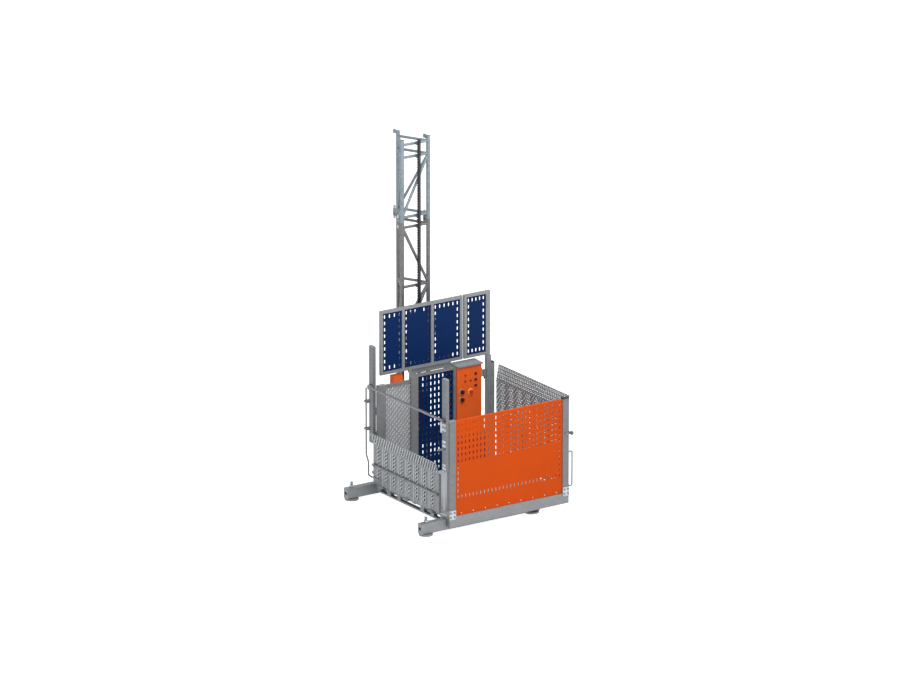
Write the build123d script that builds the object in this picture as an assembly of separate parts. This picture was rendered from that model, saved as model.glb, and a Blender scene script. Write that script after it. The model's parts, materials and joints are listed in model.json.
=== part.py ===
from build123d import *
import os
from math import atan, cos, pi, radians, sin, sqrt, tan

# Transport platform lift on a rack mast, in millimetres, +Z up.
# The origin is on the mast axis at the ground.
# X runs along the front wall to the right, Y runs from the front wall to the mast.

# Clearances
SLIDE_GAP = 0.3
PIN_GAP = 0.05
SEAT_GAP = 2.0
BEAM_CLEAR = 6.0

# Rack and pinions
MODULE = 6.0
PRESSURE_ANGLE = 20.0
DEDENDUM = 1.25
FLANK_POINTS = 4
BACKLASH = 0.5
RACK_WIDTH = 30.0
RACK_BACK = 22.5
RACK_REACH = 56.0
RACK_PITCH_X = -10.0
PINION_TEETH = 18
PINION_WIDTH = 40.0
PINION_SHAFT_R = 20.0
DRIVE_TOOTH = 31
GOVERNOR_TOOTH = 75

# Mast
SECTION_TEETH = 80
TOP_TEETH = 51
MAST_SIDE = 350.0
MAST_DEPTH = 345.0
CHORD_R = 24.0
CHORD_WALL = 4.0
BRACE_R = 16.0
END_BRACE = 60.0
LUG_REACH = 75.0
LUG_R = 17.0
LUG_ARM = 20.0
LUG_T = 40.0
BOLT_R = 8.0
BOLT_HOLE_R = 8.5
BOLT_HEAD_R = 13.0
BOLT_HEAD_T = 10.0
BOLT_SLEEVE_R = 15.0
BOLT_SLEEVE_H = 30.0
PAD_H = 40.0

# Mast base
BASE_T = 30.0
BASE_HALF_X = 290.0
BASE_BACK = 350.0
BASE_FRONT = -160.0
BASE_ARM_W = 60.0
BASE_ARM_H = 80.0
BASE_ARM_BACK = 200.0

# Ground beams and feet
BEAM_LEFT = -1070.0
BEAM_LENGTH = 1580.0
BEAM_W = 80.0
BEAM_H = 120.0
BEAM_Z = 25.0
BEAM_WALL = 5.0
BEAM_END_HOLE_R = 20.0
FRONT_BEAM_Y = -1800.0
REAR_BEAM_Y = -300.0
FOOT_INSET = 80.0
FOOT_R = 80.0
FOOT_T = 20.0
SPINDLE_R = 15.0
SPINDLE_RISE = 65.0
SPINDLE_LOW_RISE = 25.0
SLEEVE_R = 25.0
SLEEVE_RISE = 12.0
RAIL_X = 400.0
RAIL_W = 60.0
RAIL_H = 60.0
BUFFER_R = 35.0
BUFFER_ROWS = (-1500.0, -720.0)

# Platform floor
CAR_LEFT = -740.0
CAR_WIDTH = 1600.0
CAR_FRONT = -1900.0
REAR_WALL_Y = -425.0
FRAME_TOP = 182.0
FLOOR_T = 8.0
APRON_Z = 60.0
SILL_W = 50.0
SILL_Z = 90.0
CROSS_Z = 120.0
CROSS_W = 60.0
CROSS_COUNT = 3
SILL_SLOT_Z = 108.0
SILL_SLOT_H = 50.0
SILL_SLOT_SMALL = 130.0
SILL_SLOT_LARGE = 400.0
SILL_SLOT_BRIDGE = 70.0

# Walls
REAR_POST_W = 100.0
FRONT_POST_W = 82.0
POST_D = 50.0
WALL_TOP = 1285.0
SOCKET_T = 4.0
SOCKET_Z = 150.0
SOCKET_H = 105.0
CAP_H = 14.0
CAP_INSET = 1.0
CAP_BEVEL = 4.5
SHEET_T = 3.0
PANEL_SETBACK = 10.0
PANEL_FOLD = 28.0
SLOT_W = 13.0
SLOT_H = 40.0
SLOT_PITCH_X = 50.0
SLOT_PITCH_Z = 69.0
SLOT_ROWS = 6
SLOT_MARGIN = 32.0
BORDER_ROW_Z = 400.0
SHEET_MARGIN = 22.0

# Rear frame
REAR_LEFT_TOP = 1320.0
INNER_POST_X = -300.0
INNER_POST_W = 93.0
BLUE_TOP = 1370.0
SLIM_POST_X = 280.0
SLIM_POST_W = 20.0
RIGHT_POST_X = 720.0
RIGHT_POST_W = 56.0
CORNER_POST_W = 46.0
CORNER_POST_TOP = 1340.0
REAR_RAIL = 30.0
SHELF_TOP = 560.0
SHELF_H = 40.0
LIMIT_W = 32.0
LIMIT_D = 30.0
LIMIT_H = 80.0
LIMIT_Z = 1185.0

# Upper guard and mast access gate
GUARD_LEFT = -700.0
GUARD_WIDTH = 1104.0
GUARD_Z = 1440.0
GUARD_TOP = 2190.0
GUARD_BAR = 35.0
GUARD_DEPTH = 30.0
GUARD_FIRST_BAY = 255.0
GATE_GAP = 22.0
GATE_PIN_R = 9.0
GATE_PIN_RISE = 240.0
GATE_PIN_SEAT = 60.0
GATE_COLLAR_R = 14.0
GATE_COLLAR_T = 4.0

# Control cabinet
CABINET_WIDTH = 330.0
CABINET_FRONT = -475.0
CABINET_BACK = -340.0
CABINET_TOP = 1365.0
CABINET_WALL = 3.0
HOOD_REACH = 42.0
HOOD_SIDE = 10.0
HOOD_FRONT_H = 14.0
HOOD_BACK_H = 22.0
DOOR_T = 22.0
DOOR_KNUCKLE_R = 7.0
DOOR_KNUCKLE_H = 50.0
DOOR_AXIS_OUT = 8.0
DOOR_AXIS_BACK = 11.0
DOOR_PIN_R = 3.0
DOOR_HINGE_INSET = 110.0
STOP_R = 24.0
STOP_H = 26.0
STOP_BEVEL = 5.0
BUTTON_SIDE = 18.0
BUTTON_H = 9.0
KNOB_R = 26.0
KNOB_H = 22.0
KNOB_SIDES = 12
POINTER_REACH = 14.5
STEM_R = 6.0
STEM_DEPTH = 8.0
STEM_HOLE_DEPTH = 14.0
BEZEL_T = 3.0
BEZEL_W = 5.0
PRESS = 4.0
BUTTON_COLUMN = 250.0
BUTTON_DROP = 105.0
BUTTON_STEP = 69.0
STOP_COLUMN = 180.0
STOP_DROP = 303.0
SWITCH_COLUMN = 62.0
SWITCH_DROP = 290.0
SWITCH_STEP = 92.0
LAMP_COLUMNS = (110.0, 108.0, 182.0)
SWITCHGEAR_T = 4.0
SWITCHGEAR_H = 60.0
SWITCHGEAR_W = 48.0
SWITCHGEAR_COLUMNS = 3
SWITCHGEAR_ROWS = 2

# Side leaves: loading ramp on the left, flap on the right
HINGE_Z = 185.0
LEAF_T = 30.0
LEAF_SHEET = 4.0
LEAF_Z = 200.0
LEAF_EDGE = 30.0
LEAF_AXIS_OUT = 40.0
HINGE_PIN_R = 8.0
KNUCKLE_R = 14.0
KNUCKLE_W = 50.0
HINGE_LUG_T = 12.0
HINGE_SIDE_GAP = 1.0
HINGE_INSET = 160.0
LEAF_HINGES = 3
RAMP_GAP = 15.0
RAMP_BACK = -432.0
RAMP_TOP = 650.0
RAMP_STRIP = 140.0
RAMP_LEAN = 40.0
RAMP_RIBS = 9
RAMP_RIB_W = 76.0
RAMP_SLOT_W = 12.0
RAMP_SLOT_H = 30.0
RAMP_SLOT_TILT = 30.0
RAMP_SLOT_ROWS = 8
RAMP_SLOT_SPACING = 34.0
RAMP_BAR_Z = 415.0
RAMP_BAR_R = 12.0
SADDLE_W = 24.0
SADDLE_WALL = 6.0
CRANK_RISE = 75.0
CRANK_R = 10.0
CRANK_LENGTH = 150.0
CRANK_OVERHANG = 15.0
FLAP_GAP = 8.0
FLAP_FRONT = -1846.0
FLAP_BACK = -440.0
FLAP_TOP = 1130.0
FLAP_STRIP = 165.0
FLAP_LEAN = 34.0
FLAP_RIBS = 9
FLAP_RIB_W = 56.0
FLAP_OPENING_W = 76.0
FLAP_OPENING_H = 66.0
FLAP_OPENING_ROWS = 6
LATCH_Z = 880.0
LATCH_STEM_R = 8.0
LATCH_STEM_DEPTH = 36.0
LATCH_KNOB_R = 22.0
LATCH_KNOB_H = 14.0
LATCH_TONGUE = 78.0
LATCH_TONGUE_H = 24.0
LATCH_TONGUE_T = 7.0
HANDLE_Z = 240.0
HANDLE_LENGTH = 420.0
HANDLE_R = 9.0
HANDLE_STAND = 24.0
HANDLE_OUT = 40.0
HANDLE_BEND = 14.0

# Gate posts, barrier and push rod
GATE_POST_W = 80.0
GATE_POST_T = 40.0
NEAR_POST_Y = -1850.0
FAR_POST_Y = -380.0
NEAR_POST_Z = 720.0
FAR_POST_Z = 650.0
GATE_POST_TOP = 1772.0
BRACKET_H = 60.0
BRACKET_X = 50.0
BRACKET_LOW = 700.0
BRACKET_HIGH = 980.0
LEVER_Z = 966.0
LEVER_H = 20.0
LEVER_T = 12.0
LEVER_REACH = 90.0
BARRIER_Z = 1307.0
BARRIER_R = 15.0
BARRIER_WALL = 2.5
BARRIER_STAND = 3.0
BARRIER_HUB_R = 32.0
BARRIER_PIN_R = 10.0
CRADLE_W = 30.0
CRADLE_DEPTH = 36.0
CRADLE_WALL = 16.0
CRADLE_RISE = 22.0
BARRIER_LATCH_H = 110.0
BARRIER_LATCH_W = 22.0
BARRIER_LATCH_T = 7.0
BARRIER_LATCH_PIN_R = 4.0
BARRIER_LATCH_SEAT = 14.0
ROD_R = 10.0
ROD_LOW_Y = -345.0
ROD_HIGH_Y = -300.0
ROD_GAP = 5.0
ROD_KINK_LOW = 420.0
ROD_KINK_HIGH = 500.0
ROD_TOP = 1280.0
ROD_BEND = 26.0
ROD_GUIDES = (800.0, 1120.0)
ROD_GUIDE_H = 24.0
ROD_GUIDE_WALL = 9.0
CHAIN_R = 7.0
CHAIN_FOOT_Z = 215.0
CHAIN_X_OUT = 22.0

# Carriage and drive
ROLLER_R = 40.0
ROLLER_W = 48.0
ROLLER_ANGLE = 35.0
ROLLER_LOW = 450.0
ROLLER_HIGH = 1750.0
AXLE_R = 12.0
AXLE_COLLAR_R = 18.0
AXLE_SEAT = 55.0
AXLE_NUT_T = 12.0
ARM_GAP = 15.0
ARM_H = 80.0
UPRIGHT_W = 60.0
UPRIGHT_D = 60.0
UPRIGHT_Z = 168.0
UPRIGHT_TOP = 2000.0
CROSS_BEAM_D = 40.0
CROSS_BEAM_H = 60.0
CROSS_BEAM_LOW = 300.0
CROSS_BEAM_HIGH = 1900.0
GEAR_PLATE_T = 20.0
GEARBOX_HALF = 78.0
GEARBOX_RISE = 85.0
GEARBOX_FILLET = 14.0
GEARBOX_BACK = -215.0
SHAFT_SEAT = 30.0
MOTOR_Y = -310.0
MOTOR_R = 76.0
MOTOR_FLANGE_R = 88.0
MOTOR_FLANGE_T = 18.0
MOTOR_LENGTH = 330.0
MOTOR_FINS = 16
MOTOR_FIN_H = 9.0
MOTOR_FIN_T = 4.0
FAN_COWL_H = 70.0
TERMINAL_BOX = 90.0
GOVERNOR_R = 72.0
GOVERNOR_RISE = 80.0
JUNCTION_X = -440.0
JUNCTION_W = 120.0
JUNCTION_D = 85.0
JUNCTION_Z = 1270.0
JUNCTION_H = 120.0
JUNCTION_BEVEL = 7.0

# Values worked out from the sizes above
PITCH = pi * MODULE
PINION_PITCH_R = MODULE * PINION_TEETH / 2
PINION_X = RACK_PITCH_X - PINION_PITCH_R
MAST_Z = BASE_T
CHORD_FRONT_Y = -MAST_SIDE / (2 * sqrt(3))
CHORD_BACK_Y = CHORD_FRONT_Y + MAST_DEPTH
CHORDS = (
    (-MAST_SIDE / 2, CHORD_FRONT_Y),
    (MAST_SIDE / 2, CHORD_FRONT_Y),
    (0.0, CHORD_BACK_Y),
)
MAST_FACES = ((1, 0), (1, 2), (0, 2))
SECTIONS = (SECTION_TEETH, SECTION_TEETH, TOP_TEETH)
RACK_BACK_Y = CHORD_FRONT_Y - RACK_REACH
RACK_MID_Y = RACK_BACK_Y - RACK_WIDTH / 2
RACK_ROOT_X = RACK_PITCH_X + DEDENDUM * MODULE
RACK_BACK_X = RACK_ROOT_X + RACK_BACK
DRIVE_Z = MAST_Z + (DRIVE_TOOTH + 0.5) * PITCH
GOVERNOR_Z = MAST_Z + (GOVERNOR_TOOTH + 0.5) * PITCH
BEAM_RIGHT = BEAM_LEFT + BEAM_LENGTH
BEAM_TOP = BEAM_Z + BEAM_H
FEET_X = (BEAM_LEFT + FOOT_INSET, BEAM_RIGHT - FOOT_INSET)
CAR_RIGHT = CAR_LEFT + CAR_WIDTH
FLOOR_TOP = FRAME_TOP + FLOOR_T
WALL_BACK = CAR_FRONT + POST_D
REAR_FRONT_Y = REAR_WALL_Y - POST_D
SHEET_Y = REAR_WALL_Y - GUARD_DEPTH / 2
OVER_BEAM_Z = BEAM_TOP + BEAM_CLEAR
SILL_FRONT = FRONT_BEAM_Y + BEAM_W / 2 + BEAM_CLEAR
RAMP_FRONT = FRONT_BEAM_Y + BEAM_W / 2 + BEAM_CLEAR + SEAT_GAP
CABINET_LEFT = SLIM_POST_X + SLIM_POST_W
CABINET_RIGHT = CABINET_LEFT + CABINET_WIDTH
DOOR_FRONT = CABINET_FRONT - SLIDE_GAP - DOOR_T
DOOR_AXIS = (CABINET_RIGHT + DOOR_AXIS_OUT, CABINET_FRONT - DOOR_AXIS_BACK)
RIGHT_POST_TOP = GUARD_Z - GATE_COLLAR_T
GATE_LEFT = GUARD_LEFT + GUARD_WIDTH + GATE_GAP
GATE_AXIS = (RIGHT_POST_X + RIGHT_POST_W / 2, REAR_WALL_Y - GUARD_DEPTH / 2)
GATE_POST_OUT = CAR_LEFT - GATE_POST_T
BARRIER_X = GATE_POST_OUT - BARRIER_STAND - BARRIER_R
ROLLER_OFFSET = ROLLER_R + CHORD_R * cos(radians(ROLLER_ANGLE)) + SLIDE_GAP / cos(radians(ROLLER_ANGLE))
ROLLER_X = MAST_SIDE / 2 + ROLLER_OFFSET
ROLLER_ROOT_R = ROLLER_OFFSET - (CHORD_R + SLIDE_GAP) / cos(radians(ROLLER_ANGLE))
UPRIGHT_BACK = REAR_WALL_Y + UPRIGHT_D
CRANK_Z = HINGE_Z + CRANK_RISE


def block(x, y, z):
    """Box between two corners, each axis given as (low, high)."""
    size = [high - low for low, high in (x, y, z)]
    middle = [(high + low) / 2 for low, high in (x, y, z)]
    return Pos(*middle) * Box(*size)


def round_bar(start, end, radius):
    """Round bar from one point to another."""
    line = Vector(*end) - Vector(*start)
    return extrude(Plane(origin=start, z_dir=line) * Circle(radius), line.length)


def upright(x, y, z, radius):
    """Round bar along Z, z given as (low, high)."""
    return round_bar((x, y, z[0]), (x, y, z[1]), radius)


def prism(points, plane, length):
    """Straight-sided outline on a plane, extruded along its normal."""
    return extrude(plane * make_face(Polyline(*points, close=True)), length)


def round_sweep(path, radius):
    """Round bar along a bent path."""
    return sweep(Plane(origin=path @ 0, z_dir=path % 0) * Circle(radius), path=path)


def spread(first, last, count):
    """Evenly spaced values from first to last."""
    return [first + (last - first) * i / (count - 1) for i in range(count)]


# Ground part

def base_beam(y):
    """Hollow cross beam with closed ends and a jack sleeve near each end."""
    x = (BEAM_LEFT, BEAM_RIGHT)
    z = (BEAM_Z, BEAM_TOP)
    across = (y - BEAM_W / 2, y + BEAM_W / 2)
    inner = [(low + BEAM_WALL, high - BEAM_WALL) for low, high in (x, across, z)]
    beam = block(x, across, z) - block(*inner)
    middle_z = (BEAM_Z + BEAM_TOP) / 2
    for end in x:
        beam -= round_bar((end - BEAM_W, y, middle_z), (end + BEAM_W, y, middle_z), BEAM_END_HOLE_R)
    for foot_x in FEET_X:
        beam += upright(foot_x, y, (BEAM_Z, BEAM_TOP + SLEEVE_RISE), SLEEVE_R)
        beam -= upright(foot_x, y, (0, BEAM_TOP + BEAM_H), SPINDLE_R + SLIDE_GAP)
    return beam


def levelling_foot(x, y):
    """Foot disc with its spindle, wound fully up; a spindle under the platform is shorter."""
    rise = SPINDLE_RISE if x < CAR_LEFT else SPINDLE_LOW_RISE
    foot = upright(x, y, (0, FOOT_T), FOOT_R)
    foot += upright(x, y, (FOOT_T, BEAM_Z - SLIDE_GAP), SLEEVE_R)
    foot += upright(x, y, (FOOT_T, BEAM_TOP + rise), SPINDLE_R)
    return foot


def side_rails():
    """Two low rails that join the front beam to the rear beam."""
    y = (FRONT_BEAM_Y + BEAM_W / 2, REAR_BEAM_Y - BEAM_W / 2)
    z = (BEAM_Z, BEAM_Z + RAIL_H)
    return [block((x - RAIL_W / 2, x + RAIL_W / 2), y, z) for x in (-RAIL_X, RAIL_X)]


def landing_buffers():
    """Rubber buffers on the rails, under the floor's cross members."""
    z = (BEAM_Z + RAIL_H, CROSS_Z)
    return [upright(x, y, z, BUFFER_R) for x in (-RAIL_X, RAIL_X) for y in BUFFER_ROWS]


def lug_centre(chord):
    """Bolt position behind a chord."""
    return chord[0], chord[1] + LUG_REACH


def mast_base():
    """Ground plate under the mast with two arms to the rear beam."""
    plate = block((-BASE_HALF_X, BASE_HALF_X), (BASE_FRONT, BASE_BACK), (0, BASE_T))
    y = (REAR_BEAM_Y + BEAM_W / 2, BASE_ARM_BACK)
    z = (BASE_T, BASE_T + BASE_ARM_H)
    inner = BASE_HALF_X - BASE_ARM_W
    return [plate] + [block(x, y, z) for x in ((-BASE_HALF_X, -inner), (inner, BASE_HALF_X))]


def mast_lug(chord, z):
    """Drilled bolt lug behind a chord."""
    x, y = lug_centre(chord)
    span = (z, z + LUG_T)
    lug = block((x - LUG_ARM / 2, x + LUG_ARM / 2), (chord[1], y), span) + upright(x, y, span, LUG_R)
    return lug - [upright(*chord, span, CHORD_R), upright(x, y, span, BOLT_HOLE_R)]


def mast_braces(levels, cores):
    """Braces of the three faces, fitted to the chords and each other; a short bay has no diagonals."""
    middle = levels[1]
    rises = [(level, level) for level in levels]
    rises += [(middle, end) for end in (levels[0], levels[2]) if abs(end - middle) > MAST_SIDE]
    placed = []
    fitted = []
    for start, end in rises:
        for meeting, other in MAST_FACES:
            brace = round_bar((*CHORDS[meeting], start), (*CHORDS[other], end), BRACE_R)
            cut = brace - (cores + placed)
            fitted.append(cut.solids().sort_by(SortBy.VOLUME)[-1])
            placed.append(brace)
    return fitted, placed


def mast_section(z, length):
    """Lattice section: three chord tubes, braces, bolt lugs and rack pads."""
    top = z + length
    levels = [z + END_BRACE, z + SECTION_TEETH * PITCH / 2, top - END_BRACE]
    cores = [upright(*chord, (z, top), CHORD_R) for chord in CHORDS]
    fitted, placed = mast_braces(levels, cores)
    pads = []
    for level in levels:
        pad_z = (level - PAD_H / 2, level + PAD_H / 2)
        pad = block((RACK_ROOT_X + MODULE, RACK_BACK_X), (RACK_BACK_Y, CHORD_FRONT_Y), pad_z)
        pads.append(pad - placed)
    tubes = []
    lugs = []
    for core, chord in zip(cores, CHORDS):
        tubes.append(core - upright(*chord, (z, top), CHORD_R - CHORD_WALL))
        lugs += [mast_lug(chord, z), mast_lug(chord, top - LUG_T)]
    return tubes + fitted + pads + lugs


def rack_length(z, teeth):
    """Straight toothed rack, teeth towards -X, starting in a tooth gap."""
    slope = tan(radians(PRESSURE_ANGLE))
    tip_x = RACK_PITCH_X - MODULE
    tip_half = PITCH / 4 - MODULE * slope
    root_half = PITCH / 4 + DEDENDUM * MODULE * slope
    points = [(RACK_BACK_X, z), (RACK_ROOT_X, z)]
    for tooth in range(teeth):
        middle = z + (tooth + 0.5) * PITCH
        points.append((RACK_ROOT_X, middle - root_half))
        points.append((tip_x, middle - tip_half))
        points.append((tip_x, middle + tip_half))
        points.append((RACK_ROOT_X, middle + root_half))
    end = z + teeth * PITCH
    points += [(RACK_ROOT_X, end), (RACK_BACK_X, end)]
    plane = Plane(origin=(0, RACK_BACK_Y, 0), x_dir=(1, 0, 0), z_dir=(0, -1, 0))
    return prism(points, plane, RACK_WIDTH)


def bolt_end(x, y, seat, way):
    """Spacer sleeve and hexagon beyond a lug's outer face; way is 1 for upwards, -1 for downwards."""
    head = seat + way * BOLT_SLEEVE_H
    end = extrude(Pos(x, y, head) * RegularPolygon(BOLT_HEAD_R, 6), way * BOLT_HEAD_T)
    return end + upright(x, y, (seat, head), BOLT_SLEEVE_R)


def joint_bolts():
    """Studs on the mast base and bolts through both mast joints, each end with a spacer sleeve."""
    bolts = []
    for chord in CHORDS:
        x, y = lug_centre(chord)
        seat = MAST_Z + LUG_T
        bolts.append(bolt_end(x, y, seat, 1) + upright(x, y, (MAST_Z, seat), BOLT_R))
        for joint in (1, 2):
            z = MAST_Z + joint * SECTION_TEETH * PITCH
            seats = (z - LUG_T, z + LUG_T)
            shank = upright(x, y, seats, BOLT_R)
            bolts.append(shank + bolt_end(x, y, seats[0], -1) + bolt_end(x, y, seats[1], 1))
    return bolts


# Drive and carriage

def pinion_outline():
    """Involute outline about the origin, with a tooth gap towards +X."""
    angle = radians(PRESSURE_ANGLE)
    base_r = PINION_PITCH_R * cos(angle)
    root_r = PINION_PITCH_R - DEDENDUM * MODULE
    tip_r = PINION_PITCH_R + MODULE
    half = (PITCH / 2 - BACKLASH) / 2 / PINION_PITCH_R + tan(angle) - angle
    flank = [(root_r, half)]
    for radius in spread(base_r, tip_r, FLANK_POINTS):
        roll = sqrt(max((radius / base_r) ** 2 - 1, 0))
        involute = roll - atan(roll)
        flank.append((radius, half - involute))
    step = 2 * pi / PINION_TEETH
    points = []
    for tooth in range(PINION_TEETH):
        middle = (tooth + 0.5) * step
        points += [(r * cos(middle - turn), r * sin(middle - turn)) for r, turn in flank]
        points += [(r * cos(middle + turn), r * sin(middle + turn)) for r, turn in reversed(flank)]
    return points


def pinion(z):
    """Pinion in mesh with the rack, on the shaft that it turns with."""
    front = RACK_MID_Y - PINION_WIDTH / 2
    plane = Plane(origin=(PINION_X, front, z), x_dir=(1, 0, 0), z_dir=(0, 1, 0))
    gear = prism(pinion_outline(), plane, PINION_WIDTH)
    inside = GEARBOX_BACK - SHAFT_SEAT + SEAT_GAP
    return gear + round_bar((PINION_X, inside, z), (PINION_X, front, z), PINION_SHAFT_R)


def guide_roller(side, z):
    """Grooved roller on the outer flank of a front chord."""
    half = ROLLER_W / 2
    rim = ROLLER_ROOT_R + half * tan(radians(ROLLER_ANGLE))
    bore = AXLE_R + PIN_GAP
    outline = [(bore, -half), (rim, -half), (ROLLER_ROOT_R, 0), (rim, half), (bore, half)]
    face = Plane.XY * make_face(Polyline(*outline, close=True))
    return Pos(side * ROLLER_X, CHORD_FRONT_Y, z) * revolve(face, Axis.Y)


def roller_axle(side, z):
    """Axle seated in a carriage arm, with a collar, a nut and the roller between."""
    x = side * ROLLER_X
    front = CHORD_FRONT_Y - ROLLER_W / 2
    back = CHORD_FRONT_Y + ROLLER_W / 2
    axle = round_bar((x, front - ARM_GAP - AXLE_SEAT, z), (x, back + AXLE_NUT_T, z), AXLE_R)
    axle += round_bar((x, front - ARM_GAP, z), (x, front - SLIDE_GAP, z), AXLE_COLLAR_R)
    axle += round_bar((x, back + SLIDE_GAP, z), (x, back + AXLE_NUT_T, z), AXLE_COLLAR_R)
    return axle


def roller_arm(side, z):
    """Arm behind an upright with the bore of a roller axle in its end."""
    x = side * ROLLER_X
    end = CHORD_FRONT_Y - ROLLER_W / 2 - ARM_GAP
    across = (x - UPRIGHT_W / 2, x + UPRIGHT_W / 2)
    arm = block(across, (UPRIGHT_BACK, end), (z - ARM_H / 2, z + ARM_H / 2))
    return arm - round_bar((x, end - AXLE_SEAT - SEAT_GAP, z), (x, end, z), AXLE_R + PIN_GAP)


def carriage_frame():
    """Two uprights with cross members and the arms that carry the rollers."""
    front = (REAR_WALL_Y, UPRIGHT_BACK)
    pieces = []
    inner = ROLLER_X - UPRIGHT_W / 2
    for side in (-1, 1):
        x = tuple(sorted((side * inner, side * (inner + UPRIGHT_W))))
        pieces.append(block(x, front, (UPRIGHT_Z, UPRIGHT_TOP)))
        pieces += [roller_arm(side, z) for z in (ROLLER_LOW, ROLLER_HIGH)]
    across = (-inner, inner)
    beam_y = (REAR_WALL_Y, REAR_WALL_Y + CROSS_BEAM_D)
    for z in (CROSS_BEAM_LOW, CROSS_BEAM_HIGH):
        pieces.append(block(across, beam_y, (z, z + CROSS_BEAM_H)))
    pieces.append(block(across, beam_y, (GOVERNOR_Z - GOVERNOR_RISE, GOVERNOR_Z + GOVERNOR_RISE)))
    plate_z = (DRIVE_Z - GEARBOX_RISE, DRIVE_Z + GEARBOX_RISE)
    pieces.append(block(across, (REAR_WALL_Y, REAR_WALL_Y + GEAR_PLATE_T), plate_z))
    return pieces


def shaft_seat(z):
    """Bore for a pinion shaft in the rear face of its housing."""
    start = (PINION_X, GEARBOX_BACK - SHAFT_SEAT, z)
    return round_bar(start, (PINION_X, 0, z), PINION_SHAFT_R + PIN_GAP)


def gearbox():
    """Bevel gearbox with rounded edges and a shaft bore."""
    x = (PINION_X - GEARBOX_HALF, PINION_X + GEARBOX_HALF)
    z = (DRIVE_Z - GEARBOX_RISE, DRIVE_Z + GEARBOX_RISE)
    case = block(x, (REAR_WALL_Y + GEAR_PLATE_T, GEARBOX_BACK), z)
    case = fillet(case.edges().filter_by(Axis.Z), GEARBOX_FILLET)
    return case - shaft_seat(DRIVE_Z)


def drive_motor():
    """Finned motor standing on the gearbox, with fan cowl and terminal box."""
    z = DRIVE_Z + GEARBOX_RISE
    body_z = z + MOTOR_FLANGE_T
    body_top = body_z + MOTOR_LENGTH
    motor = upright(PINION_X, MOTOR_Y, (z, body_z), MOTOR_FLANGE_R)
    motor += upright(PINION_X, MOTOR_Y, (body_z, body_top), MOTOR_R)
    motor += upright(PINION_X, MOTOR_Y, (body_top, body_top + FAN_COWL_H), MOTOR_R + MOTOR_FIN_H)
    fin = block((0, MOTOR_R + MOTOR_FIN_H), (-MOTOR_FIN_T / 2, MOTOR_FIN_T / 2), (body_z, body_top))
    motor += [Pos(PINION_X, MOTOR_Y, 0) * Rot(0, 0, 360 * i / MOTOR_FINS) * fin for i in range(MOTOR_FINS)]
    half = TERMINAL_BOX / 2
    box_x = (PINION_X - MOTOR_R - half, PINION_X - MOTOR_R + MOTOR_FIN_H)
    box_z = (body_top - 2 * TERMINAL_BOX, body_top - TERMINAL_BOX)
    motor += block(box_x, (MOTOR_Y - half, MOTOR_Y + half), box_z)
    return motor


def governor_housing():
    """Round overspeed governor housing with a shaft bore."""
    start = (PINION_X, REAR_WALL_Y + CROSS_BEAM_D, GOVERNOR_Z)
    case = round_bar(start, (PINION_X, GEARBOX_BACK, GOVERNOR_Z), GOVERNOR_R)
    return case - shaft_seat(GOVERNOR_Z)


# Platform floor and walls

def leaf_hinge_rows(front, back):
    """Y positions of the hinges along a side leaf."""
    return spread(front + HINGE_INSET, back - HINGE_INSET, LEAF_HINGES)


def hinge_axis(side):
    """X of a side leaf's hinge axis: side is -1 for the ramp, 1 for the flap."""
    if side < 0:
        return CAR_LEFT - RAMP_GAP - LEAF_AXIS_OUT
    return CAR_RIGHT + FLAP_GAP + LEAF_AXIS_OUT


def hinge_lugs(side, rows):
    """Pairs of drilled lugs on a sill, one pair per hinge."""
    edge = CAR_LEFT if side < 0 else CAR_RIGHT
    axis = hinge_axis(side)
    offset = KNUCKLE_W / 2 + HINGE_SIDE_GAP
    lugs = []
    for row in rows:
        for y in ((row - offset - HINGE_LUG_T, row - offset), (row + offset, row + offset + HINGE_LUG_T)):
            x = tuple(sorted((edge, axis)))
            ends = [(axis, end, HINGE_Z) for end in y]
            lug = block(x, y, (HINGE_Z - KNUCKLE_R, HINGE_Z + KNUCKLE_R)) + round_bar(*ends, KNUCKLE_R)
            lugs.append(lug - round_bar(*ends, HINGE_PIN_R + PIN_GAP))
    return lugs


def hinge_pins():
    """Pins of the ramp and flap hinges."""
    reach = KNUCKLE_W / 2 + HINGE_SIDE_GAP + HINGE_LUG_T
    pins = []
    for side, front, back in ((-1, RAMP_FRONT, RAMP_BACK), (1, FLAP_FRONT, FLAP_BACK)):
        axis = hinge_axis(side)
        for row in leaf_hinge_rows(front, back):
            pins.append(round_bar((axis, row - reach, HINGE_Z), (axis, row + reach, HINGE_Z), HINGE_PIN_R))
    return pins


def sill_slots():
    """Lightening holes through a sill: two small, one large, two small."""
    widths = (SILL_SLOT_SMALL, SILL_SLOT_SMALL, SILL_SLOT_LARGE, SILL_SLOT_SMALL, SILL_SLOT_SMALL)
    total = sum(widths) + SILL_SLOT_BRIDGE * (len(widths) - 1)
    start = (SILL_FRONT + REAR_FRONT_Y - total) / 2
    spans = []
    for width in widths:
        spans.append((start, start + width))
        start += width + SILL_SLOT_BRIDGE
    return spans


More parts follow.
